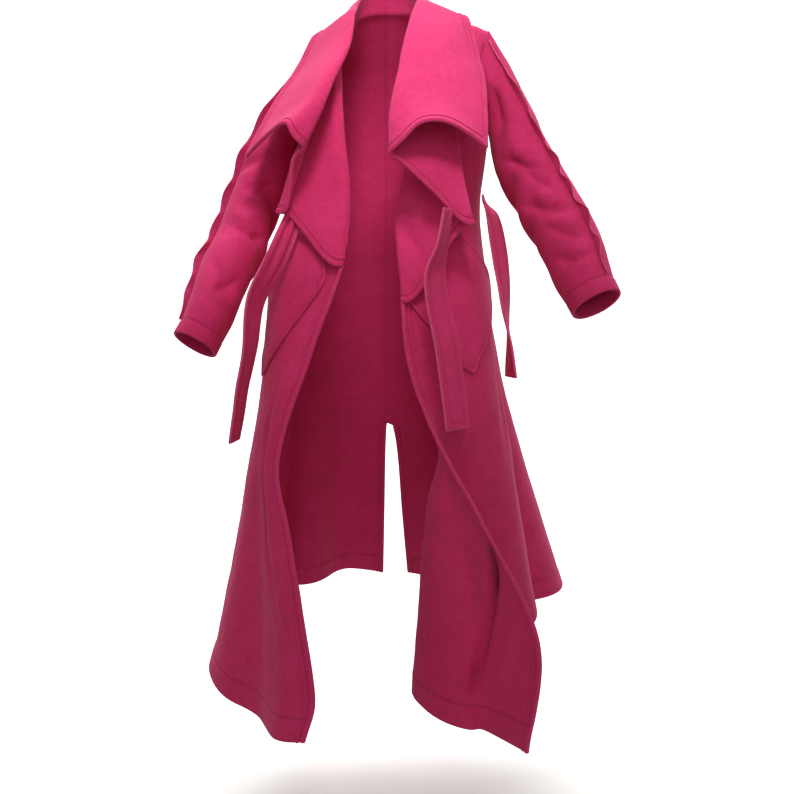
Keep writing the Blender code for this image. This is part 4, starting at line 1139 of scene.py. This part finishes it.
def pocket_sheet(front):
    """The patch pocket: the front's own points inside the pocket's outline, moved out."""
    outline = np.array(POCKETS[front.side])
    stops = np.linspace(0.0, 1.0, len(outline))
    grid = np.empty((POCKET_DOWN + 1, POCKET_ACROSS + 1, 3))
    numbers = np.arange(len(front.places))
    for column, share in enumerate(np.linspace(0.0, 1.0, POCKET_ACROSS + 1)):
        across, top, bottom = (np.interp(share, stops, outline[:, k]) for k in range(3))
        for row in range(POCKET_DOWN + 1):
            place = top + (bottom - top) * row / POCKET_DOWN
            down = np.interp(place, front.places, numbers)
            grid[row, column] = grid_point(front.grid, down, across * front.fold)
    normals = grid_normals(grid)
    outward = 1.0 if normals[..., 1].mean() + normals[..., 0].mean() > 0 else -1.0
    grid = grid + normals * outward * (WALL + POCKET_GAP)
    sheet = Sheet("coat_pocket_" + front.side, grid)
    ends = [distance_to_end(grid, axis, end) for axis in (0, 1) for end in (0, -1)]
    sheet.turn_edge(np.minimum.reduce(ends), POCKET_STITCH, POCKET_EDGE, POCKET_EXTRA)
    down = line_lengths(grid[:, POCKET_ACROSS // 2])[-1]
    across = line_lengths(grid[POCKET_DOWN // 2])[-1]
    top = max(1, round(POCKET_STITCH / down * POCKET_DOWN))
    left = max(1, round(POCKET_STITCH / across * POCKET_ACROSS))
    bottom = POCKET_DOWN - top
    right = POCKET_ACROSS - left
    route = [(top, column) for column in range(left, right)]
    route += [(row, right) for row in range(top, bottom)]
    route += [(bottom, column) for column in range(right, left, -1)]
    route += [(row, left) for row in range(bottom, top - 1, -1)]
    sheet.stitch(*zip(*route))
    return sheet


def tie_sheet(name, line):
    """A flat doubled ribbon along a centre line, turned as the table says."""
    table = np.array(line)
    lengths = line_lengths(table[:, :3])
    smooth = smooth_rows(lengths, table, np.linspace(0.0, lengths[-1], TIE_STEPS + 1))
    shares = np.linspace(-0.5, 0.5, TIE_ACROSS + 1)
    rows = []
    for index, (x, y, z, turn) in enumerate(smooth):
        step = smooth[min(index + 1, TIE_STEPS), :3] - smooth[max(index - 1, 0), :3]
        axis = step / np.linalg.norm(step)
        flat = np.array((math.cos(math.radians(turn)), math.sin(math.radians(turn)), 0.0))
        flat -= axis * (flat @ axis)
        flat /= np.linalg.norm(flat)
        gather = np.interp(index / TIE_STEPS, (0.0, GATHER_SHARE), (TIE_GATHER[name], 1.0))
        ruffle = np.sin(shares * 4 * math.pi) * (1.0 - gather) * TIE_RUFFLE
        away = np.cross(axis, flat)
        rows.append([np.array((x, y, z)) + flat * TIE_WIDTH * gather * share + away * bend
                     for share, bend in zip(shares, ruffle)])
    sheet = Sheet("coat_" + name, np.array(rows), wall=DOUBLE_WALL)
    sheet.push(unevenness(sheet.grid, TIE_WAVES, TIE_SEEDS))
    sides = np.minimum(distance_to_end(sheet.grid, 1, 0), distance_to_end(sheet.grid, 1, -1))
    ends = distance_to_end(sheet.grid, 0, -1)
    sheet.groove(np.minimum(sides, ends) - TIE_STITCH, *SEAM_GROOVES["tie"])
    inset = round(TIE_STITCH / TIE_WIDTH * TIE_ACROSS)
    for column in (inset, TIE_ACROSS - inset):
        sheet.stitch(range(TIE_STEPS - 2), [column] * (TIE_STEPS - 2))
    return sheet


# ================================================================ node helpers
class Nodes:
    """Adds nodes to a tree: a type, its settings first, then the values or links of its sockets."""

    def __init__(self, tree):
        self.tree = tree

    def add(self, kind, settings=None, **sockets):
        """A new node with its settings, then its sockets by name, a space for each underscore."""
        node = self.tree.nodes.new(kind)
        for name, value in (settings or {}).items():
            setattr(node, name, value)
        for name, value in sockets.items():
            self.feed(node.inputs[name.replace("_", " ")], value)
        return node

    def feed(self, socket, value):
        """Link a socket to another, or give it a plain value."""
        if isinstance(value, Value):
            value = value.socket
        if isinstance(value, bpy.types.NodeSocket):
            self.tree.links.new(value, socket)
        elif value is not None:
            socket.default_value = value

    def value(self, node, output=0):
        """A node's output as a number for expressions."""
        return Value(self, node.outputs[output])

    def mix(self, factor, first, second):
        """The colour on the way from one to another."""
        node = self.add("ShaderNodeMix", {"data_type": "RGBA"}, Factor=factor)
        for socket, colour in zip(MIX_COLOURS, (first, second)):
            self.feed(node.inputs[socket], colour)
        return node.outputs[MIX_RESULT]


def both_ways(operation):
    """The methods for an arithmetic sign with a value on its left, and with one on its right."""
    return (lambda self, other: self.math(operation, self, other),
            lambda self, other: self.math(operation, other, self))


class Value:
    """A number in a node tree; expressions on it add Math nodes."""

    def __init__(self, nodes, socket):
        self.nodes = nodes
        self.socket = socket

    def math(self, operation, first, second=None, clamp=False):
        """A Math node on one or two values."""
        node = self.nodes.add("ShaderNodeMath", {"operation": operation, "use_clamp": clamp})
        for socket, value in zip(node.inputs, (first, second)):
            self.nodes.feed(socket, value)
        return Value(self.nodes, node.outputs[0])

    __add__, __radd__ = both_ways("ADD")
    __sub__, __rsub__ = both_ways("SUBTRACT")
    __mul__, __rmul__ = both_ways("MULTIPLY")
    __truediv__, __rtruediv__ = both_ways("DIVIDE")

    def clamped(self):
        """The value held between 0 and 1."""
        return self.math("ADD", self, 0.0, clamp=True)

    def bell(self, centre, width):
        """1 at the centre, falling softly to 0 over a width."""
        offset = (self - centre) / width
        return self.math("EXPONENT", offset * offset * -1.0)


# ================================================================ finishes
def noise_value(nodes, place, scale, detail=2.0, roughness=0.5, distortion=0.0):
    """A noise pattern of the given number of cells for each metre."""
    node = nodes.add("ShaderNodeTexNoise", None, Vector=place, Scale=scale, Detail=detail,
                     Roughness=roughness, Distortion=distortion)
    return nodes.value(node, "Fac")


def sum_of(values):
    """The sum of values in a node tree."""
    return sum(values[1:], values[0])


def darker(colour, share):
    """A share of a colour, without transparency."""
    return tuple(channel * share for channel in colour) + (1.0,)


def new_material(name, surface=None):
    """A material: itself, its nodes, its shader with the given surface, and the place on the object."""
    material = bpy.data.materials.new(name)
    material.use_nodes = True
    nodes = Nodes(material.node_tree)
    shader = material.node_tree.nodes["Principled BSDF"]
    for socket, value in (surface or {}).items():
        shader.inputs[socket].default_value = value
    place = nodes.add("ShaderNodeTexCoord").outputs["Object"]
    return material, nodes, shader, place


def wool_material(name, colour, deep_colour, nap_depth, highlight_share):
    """Thick felted wool: matted fibres and a soft nap with sheen, with shade painted along grooves, folds
    and raised seams and a highlight painted on rims.
    """
    found = bpy.data.materials.get(name)
    if found:
        return found
    material, nodes, shader, place = new_material(name, WOOL_SURFACE)
    material.diffuse_color = (*colour, 1.0)
    patterns = {key: noise_value(nodes, place, *numbers) for key, numbers in FELT_PATTERNS.items()}
    # The shade painted along grooves, folds and raised seams.
    seam = nodes.value(nodes.add("ShaderNodeAttribute", {"attribute_name": "seam_shade"}), "Fac")
    wrong = nodes.value(nodes.add("ShaderNodeAttribute", {"attribute_name": "wrong_side"}), "Fac")
    depth = sum_of([(patterns[key] - 0.5) * share for key, share in FELT_TINT.items()])
    depth = depth + wrong * WRONG_SIDE_TINT
    wool = nodes.mix((depth * TINT_GAIN[0] + TINT_GAIN[1]).clamped(), (*colour, 1.0), (*deep_colour, 1.0))
    # Painted shade: the wool drawn towards a dark colour where the sheet holds painted shade.
    shaded = nodes.mix((seam * PAINTED_SHADE_SHARE).clamped(), wool, darker(deep_colour, PAINTED_SHADE_DARK))
    # Painted highlight: the rims drawn towards a pale colour.
    cut = nodes.mix((wrong.bell(*RIM_BELL) * highlight_share).clamped(), shaded, RIM_HIGHLIGHT_COLOUR)
    nodes.feed(shader.inputs["Base Color"], cut)
    slope, least = WOOL_ROUGHNESS
    nodes.feed(shader.inputs["Roughness"], (patterns["felt"] * slope + least).clamped())
    height = sum_of([patterns[key] * share for key, share in FELT_HEIGHT.items()])
    bump = nodes.add("ShaderNodeBump", None, Strength=NAP_STRENGTH, Distance=nap_depth, Height=height)
    nodes.feed(shader.inputs["Normal"], bump.outputs["Normal"])
    return material


def thread_material(colour):
    """Sewing thread, a little smoother than the wool."""
    found = bpy.data.materials.get("thread")
    if found:
        return found
    material, nodes, shader, place = new_material("thread")
    ply = noise_value(nodes, place, *THREAD_PLY)
    nodes.feed(shader.inputs["Base Color"], nodes.mix(ply, (*colour, 1.0), darker(colour, THREAD_DARK)))
    slope, least = THREAD_ROUGHNESS
    nodes.feed(shader.inputs["Roughness"], ply * slope + least)
    return material


def floor_material(colour):
    """A plain matt floor."""
    material, nodes, shader, place = new_material("studio_floor", FLOOR_SURFACE)
    shader.inputs["Base Color"].default_value = (*colour, 1.0)
    slope, least = FLOOR_ROUGHNESS
    nodes.feed(shader.inputs["Roughness"], noise_value(nodes, place, *FLOOR_GRAIN) * slope + least)
    return material


# ================================================================ stitches
def stitch_tree():
    """Stitches laid along every line of a mesh, each turned to its line and to the cloth's face."""
    tree = bpy.data.node_groups.get("stitch_line")
    if tree:
        return tree
    tree = bpy.data.node_groups.new("stitch_line", "GeometryNodeTree")
    tree.interface.new_socket("Lines", in_out="INPUT", socket_type="NodeSocketGeometry")
    for name, size in STITCH_SIZES.items():
        socket = tree.interface.new_socket(name, in_out="INPUT", socket_type="NodeSocketFloat")
        socket.subtype = "DISTANCE"
        socket.default_value = size
    tree.interface.new_socket("Thread", in_out="INPUT", socket_type="NodeSocketMaterial")
    tree.interface.new_socket("Stitches", in_out="OUTPUT", socket_type="NodeSocketGeometry")
    nodes = Nodes(tree)
    given = nodes.add("NodeGroupInput").outputs
    curve = nodes.add("GeometryNodeMeshToCurve", None, Mesh=given["Lines"])
    spaced = nodes.add("GeometryNodeResampleCurve", None, Curve=curve.outputs[0])
    if "Mode" in spaced.inputs:
        spaced.inputs["Mode"].default_value = "Length"
    else:
        spaced.mode = "LENGTH"
    nodes.feed(spaced.inputs["Length"], given["Pitch"])
    bead = nodes.add("GeometryNodeMeshUVSphere", None, Segments=5, Rings=3, Radius=0.5)
    size = nodes.add("ShaderNodeCombineXYZ", None, X=given["Length"], Y=given["Gauge"], Z=given["Gauge"])
    face = nodes.add("GeometryNodeInputNamedAttribute", {"data_type": "FLOAT_VECTOR"}, Name="face")
    tangent = nodes.add("GeometryNodeInputTangent")
    along = nodes.add("FunctionNodeAlignRotationToVector", {"axis": "X"}, Vector=tangent.outputs[0])
    turned = nodes.add("FunctionNodeAlignRotationToVector", {"axis": "Z", "pivot_axis": "X"},
                       Rotation=along.outputs[0], Vector=face.outputs[0])
    placed = nodes.add("GeometryNodeInstanceOnPoints", None, Points=spaced.outputs[0],
                       Instance=bead.outputs[0], Rotation=turned.outputs[0], Scale=size.outputs[0])
    real = nodes.add("GeometryNodeRealizeInstances", None, Geometry=placed.outputs[0])
    threaded = nodes.add("GeometryNodeSetMaterial", None, Geometry=real.outputs[0],
                         Material=given["Thread"])
    done = nodes.add("NodeGroupOutput")
    nodes.feed(done.inputs["Stitches"], threaded.outputs[0])
    return tree


def sew(name, sheets, sides):
    """One mesh with the stitches of several sheets, on both faces of each."""
    settings = bpy.context.scene.coat_stitching
    points, faces, edges = [], [], []
    for sheet, side in zip(sheets, sides):
        grid = world(sheet.grid, side) if side else sheet.grid
        normals = grid_normals(grid, sheet.closed)
        for rows, columns in sheet.stitches:
            middle = grid[rows, columns]
            normal = normals[rows, columns]
            half = sheet.wall[rows, columns][:, None] / 2 + settings.gauge * STITCH_SINK
            for face in (1.0, -1.0):
                start = len(points)
                points.extend((middle + normal * face * half).tolist())
                faces.extend((normal * face).tolist())
                edges.extend((start + k, start + k + 1) for k in range(len(middle) - 1))
    mesh = bpy.data.meshes.new(name + "_lines")
    mesh.from_pydata(points, edges, [])
    add_attribute(mesh, "face", "FLOAT_VECTOR", faces)
    lines = add_object(name + "_lines", mesh)
    tree = stitch_tree()
    layer = lines.modifiers.new("stitches", "NODES")
    layer.node_group = tree
    inputs = {item.name: item.identifier for item in tree.interface.items_tree if item.in_out == "INPUT"}
    layer[inputs["Pitch"]] = settings.pitch
    layer[inputs["Length"]] = settings.pitch * STITCH_SHARE
    layer[inputs["Gauge"]] = settings.gauge
    layer[inputs["Thread"]] = thread_material(tuple(settings.colour))
    graph = bpy.context.evaluated_depsgraph_get()
    result = bpy.data.meshes.new_from_object(lines.evaluated_get(graph))
    result.name = name
    bpy.data.objects.remove(lines, do_unlink=True)
    bpy.data.meshes.remove(mesh)
    result.shade_smooth()
    piece = add_object(name, result)
    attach(piece, "root")
    return piece


# ================================================================ pieces of the coat
@functools.cache
def front_of(side):
    """The front, with the soft unevenness of hung wool."""
    front = Front(side)
    sheet = Sheet("front", front.grid)
    sheet.push(unevenness(front.grid, FRONT_WAVES, FRONT_SEEDS[side]))
    towards = np.clip(grid_normals(sheet.grid)[..., 1] / FACING, -1.0, 1.0)
    flat = sheet.grid
    sheet.push(-towards * crease_relief(flat, CREASES["front_" + side]))
    front.grid = soft_shoulder(sheet.grid, side)
    front.shaded = [(moved_line(line, flat, front.grid), depth, width)
                    for line, depth, width in SHADED[side]]
    return front


@functools.cache
def back_of(side):
    """The back half that shares the front's seams."""
    return Back(side, front_of(side))


@functools.cache
def sleeve_of(side):
    """The sleeve that fills the armhole between front and back."""
    sleeve = Sleeve(side, front_of(side), back_of(side))
    sheet = Sheet("sleeve", sleeve.grid, closed=True)
    fade = soft_step(np.array(sleeve.places), *SLEEVE_FADE)[:, None]
    sheet.push(fade * unevenness(sleeve.grid, SLEEVE_WAVES, SLEEVE_SEEDS[side]))
    spokes = sheet.grid - sheet.grid.mean(axis=1, keepdims=True)
    outward = np.sign(np.sum(grid_normals(sheet.grid, True) * spokes, axis=-1))
    relief = crease_relief(sheet.grid, CREASES["sleeve_" + side])
    sheet.push(-outward * fade * relief * SLEEVE_RELIEF)
    sleeve.grid = sheet.grid
    return sleeve


def add_piece(sheet, side, node, material):
    """Make a sheet's mesh with its material, hang it from the root and hide the solid that it stands for.
    """
    piece = shell(sheet, side)
    piece.data.materials.append(material)
    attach(piece, "root")
    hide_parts(node)
    return piece


def cloth_piece(sheet, side, node, material):
    """A piece that was cut on its own, made as add_piece makes it."""
    piece = add_piece(sheet, side, node, material)
    return piece


def cloth_wool():
    """The coat's main finish."""
    cloth = bpy.context.scene.coat_cloth
    return wool_material("felted_wool", tuple(cloth.colour), tuple(cloth.deep_colour), cloth.nap,
                         RIM_HIGHLIGHT_SHARE["cloth"])


def trim_wool():
    """The same wool where it is cut or doubled, a little darker as painted shade and with more painted
    highlight on its rims.
    """
    cloth = bpy.context.scene.coat_cloth
    return wool_material("felted_wool_trim", tuple(channel * TRIM_PAINTED_SHADE for channel in cloth.colour),
                         tuple(cloth.deep_colour), cloth.nap, RIM_HIGHLIGHT_SHARE["trim"])


def make_pair(kind, sheets):
    """Both of a pair of pieces, with their stitches in one piece."""
    threads = sew("coat_" + kind + "_stitches", sheets, SIDES)
    for sheet, side in zip(sheets, SIDES):
        cloth_piece(sheet, side, kind + "_" + side, cloth_wool())


class CoatCloth(bpy.types.PropertyGroup):
    """The wool's colour and nap."""
    colour: bpy.props.FloatVectorProperty(
        name="Colour", description="The wool where the light meets its nap",
        subtype="COLOR", size=3, min=0.0, max=1.0, default=(0.78, 0.043, 0.196))
    deep_colour: bpy.props.FloatVectorProperty(
        name="Deep colour", description="The wool between its fibres",
        subtype="COLOR", size=3, min=0.0, max=1.0, default=(0.55, 0.021, 0.110))
    nap: bpy.props.FloatProperty(
        name="Nap", description="Height of the matted fibres",
        unit="LENGTH", min=0.0, max=0.003, default=0.0007)


class CoatStitching(bpy.types.PropertyGroup):
    """The thread and how it is sewn."""
    pitch: bpy.props.FloatProperty(
        name="Pitch", description="From one stitch to the next",
        unit="LENGTH", min=0.002, max=0.01, default=0.0044)
    gauge: bpy.props.FloatProperty(
        name="Gauge", description="Thickness of the thread",
        unit="LENGTH", min=0.0002, max=0.002, default=0.0007)
    colour: bpy.props.FloatVectorProperty(
        name="Thread", description="The thread's colour",
        subtype="COLOR", size=3, min=0.0, max=1.0, default=(0.62, 0.020, 0.14))


class CoatStage(bpy.types.PropertyGroup):
    """The floor, the lights and the camera."""
    floor: bpy.props.FloatProperty(
        name="Floor", description="How far the floor lies below the neck",
        unit="LENGTH", min=1.25, max=2.0, default=1.48)
    floor_colour: bpy.props.FloatVectorProperty(
        name="Floor colour", description="The floor and the wall behind",
        subtype="COLOR", size=3, min=0.0, max=1.0, default=(0.90, 0.90, 0.90))
    key: bpy.props.FloatProperty(
        name="Key light", description="Power of the light from above the front",
        min=0.0, max=500.0, default=0.80)
    fill: bpy.props.FloatProperty(
        name="Fill light", description="Power of the broad light from the front",
        min=0.0, max=500.0, default=13.0)
    backdrop: bpy.props.FloatProperty(
        name="Backdrop light", description="Power of the light on the wall behind",
        min=0.0, max=900.0, default=250.0)
    sky: bpy.props.FloatProperty(
        name="Surroundings", description="Strength of the light from all round",
        min=0.0, max=5.0, default=0.30)


class COAT_OT_fronts(bpy.types.Operator):
    """Make both fronts with the collar and their stitches"""
    bl_idname = "coat.fronts"
    bl_label = "Fronts and collar"

    def execute(self, context):
        make_pair("front", [front_sheet(front_of(side)) for side in SIDES])
        return {"FINISHED"}


class COAT_OT_backs(bpy.types.Operator):
    """Make both back halves with the vent and their stitches"""
    bl_idname = "coat.backs"
    bl_label = "Backs"

    def execute(self, context):
        make_pair("back", [back_sheet(back_of(side)) for side in SIDES])
        return {"FINISHED"}


class COAT_OT_sleeves(bpy.types.Operator):
    """Make both sleeves with their raised seams and their stitches"""
    bl_idname = "coat.sleeves"
    bl_label = "Sleeves"

    def execute(self, context):
        for side in SIDES:
            sleeve = sleeve_of(side)
            sheets = [sleeve_sheet(sleeve)]
            for name, (top_angle, cuff_angle) in FINS[side].items():
                sheet = fin_sheet(sleeve, "fin_" + name, top_angle, cuff_angle)
                node = "sleeve_" + side + "_fin_" + name
                add_piece(sheet, side, node, trim_wool())
                sheets.append(sheet)
            threads = sew("coat_sleeve_" + side + "_stitches", sheets, [side] * len(sheets))
            cloth_piece(sheets[0], side, "sleeve_" + side, cloth_wool())
        return {"FINISHED"}


class COAT_OT_pockets(bpy.types.Operator):
    """Make both patch pockets with their stitches"""
    bl_idname = "coat.pockets"
    bl_label = "Pockets"

    def execute(self, context):
        make_pair("pocket", [pocket_sheet(front_of(side)) for side in SIDES])
        return {"FINISHED"}


class COAT_OT_ties(bpy.types.Operator):
    """Make the three tie ends with their stitches"""
    bl_idname = "coat.ties"
    bl_label = "Ties"

    def execute(self, context):
        sheets = [tie_sheet(name, line) for name, line in TIES.items()]
        threads = sew("coat_tie_stitches", sheets, [None] * len(sheets))
        for number, (name, sheet) in enumerate(zip(TIES, sheets)):
            cloth_piece(sheet, None, name, trim_wool())
        return {"FINISHED"}


class COAT_OT_stage(bpy.types.Operator):
    """Make the floor, the lights and the camera"""
    bl_idname = "coat.stage"
    bl_label = "Stage"

    def execute(self, context):
        scene = context.scene
        stage = scene.coat_stage
        profile = [(FLOOR_FRONT, 0.0), (WALL_FOOT, 0.0)]
        profile += [(WALL_FOOT + WALL_ROUND * math.sin(angle), WALL_ROUND - WALL_ROUND * math.cos(angle))
                    for angle in np.linspace(0.1, math.pi / 2, 12)]
        profile.append((WALL_FOOT + WALL_ROUND, WALL_TOP))
        points = [(x, y, z - stage.floor) for y, z in profile for x in (-FLOOR_WIDTH, FLOOR_WIDTH)]
        faces = [(2 * k, 2 * k + 1, 2 * k + 3, 2 * k + 2) for k in range(len(profile) - 1)]
        mesh = bpy.data.meshes.new("studio_floor")
        mesh.from_pydata(points, [], faces)
        mesh.shade_smooth()
        mesh.materials.append(floor_material(tuple(stage.floor_colour)))
        floor = add_object("studio_floor", mesh)
        floor.visible_diffuse = False
        for name, (power, *settings) in LIGHTS.items():
            add_light(name, getattr(stage, power), *settings)
        world_light = bpy.data.worlds.new("surroundings")
        world_light.use_nodes = True
        background = world_light.node_tree.nodes["Background"]
        background.inputs["Color"].default_value = SKY_COLOUR
        background.inputs["Strength"].default_value = stage.sky
        scene.world = world_light
        scene.view_settings.view_transform = "Standard"
        lens = bpy.data.cameras.new("camera")
        lens.sensor_width = SENSOR_WIDTH
        lens.lens = CAMERA_LENS
        camera = add_object("camera", lens)
        camera.location = CAMERA_PLACE
        camera.rotation_euler = (math.radians(90.0 - CAMERA_DOWN), 0.0, 0.0)
        scene.camera = camera
        return {"FINISHED"}


def add_light(name, power, place, target, size, colour, spread):
    """A soft square light that faces a point and spreads over an angle in degrees."""
    lamp = bpy.data.lights.new(name, "AREA")
    lamp.shape = "SQUARE"
    lamp.size = size
    lamp.energy = power
    lamp.color = colour
    lamp.spread = math.radians(spread)
    light = add_object(name, lamp)
    light.location = place
    light.rotation_euler = (Vector(target) - Vector(place)).to_track_quat("-Z", "Y").to_euler()


class COAT_PT_panel(bpy.types.Panel):
    """The coat's sizes, colours and steps"""
    bl_idname = "COAT_PT_panel"
    bl_label = "Wool wrap coat"
    bl_space_type = "VIEW_3D"
    bl_region_type = "UI"
    bl_category = "Coat"

    def draw(self, context):
        for group, names in (("coat_cloth", ("colour", "deep_colour", "nap")),
                             ("coat_stitching", ("pitch", "gauge", "colour")),
                             ("coat_stage", ("floor", "floor_colour", "key", "fill", "backdrop", "sky"))):
            for name in names:
                self.layout.prop(getattr(context.scene, group), name)
        for operator in OPERATORS:
            self.layout.operator(operator.bl_idname)


GROUPS = {"coat_cloth": CoatCloth, "coat_stitching": CoatStitching, "coat_stage": CoatStage}
OPERATORS = (COAT_OT_fronts, COAT_OT_backs, COAT_OT_sleeves, COAT_OT_pockets, COAT_OT_ties, COAT_OT_stage)


def register():
    """Make the groups, the operators and the panel known."""
    for name, group in GROUPS.items():
        bpy.utils.register_class(group)
        setattr(bpy.types.Scene, name, bpy.props.PointerProperty(type=group))
    for item in (*OPERATORS, COAT_PT_panel):
        bpy.utils.register_class(item)


def unregister():
    """Take them away again."""
    for item in reversed((*OPERATORS, COAT_PT_panel)):
        bpy.utils.unregister_class(item)
    for name, group in GROUPS.items():
        delattr(bpy.types.Scene, name)
        bpy.utils.unregister_class(group)


def main():
    """Build the coat and its stage."""
    register()
    bpy.ops.coat.fronts()
    bpy.ops.coat.backs()
    bpy.ops.coat.sleeves()
    bpy.ops.coat.pockets()
    bpy.ops.coat.ties()
    bpy.ops.coat.stage()


if __name__ == "__main__":
    main()
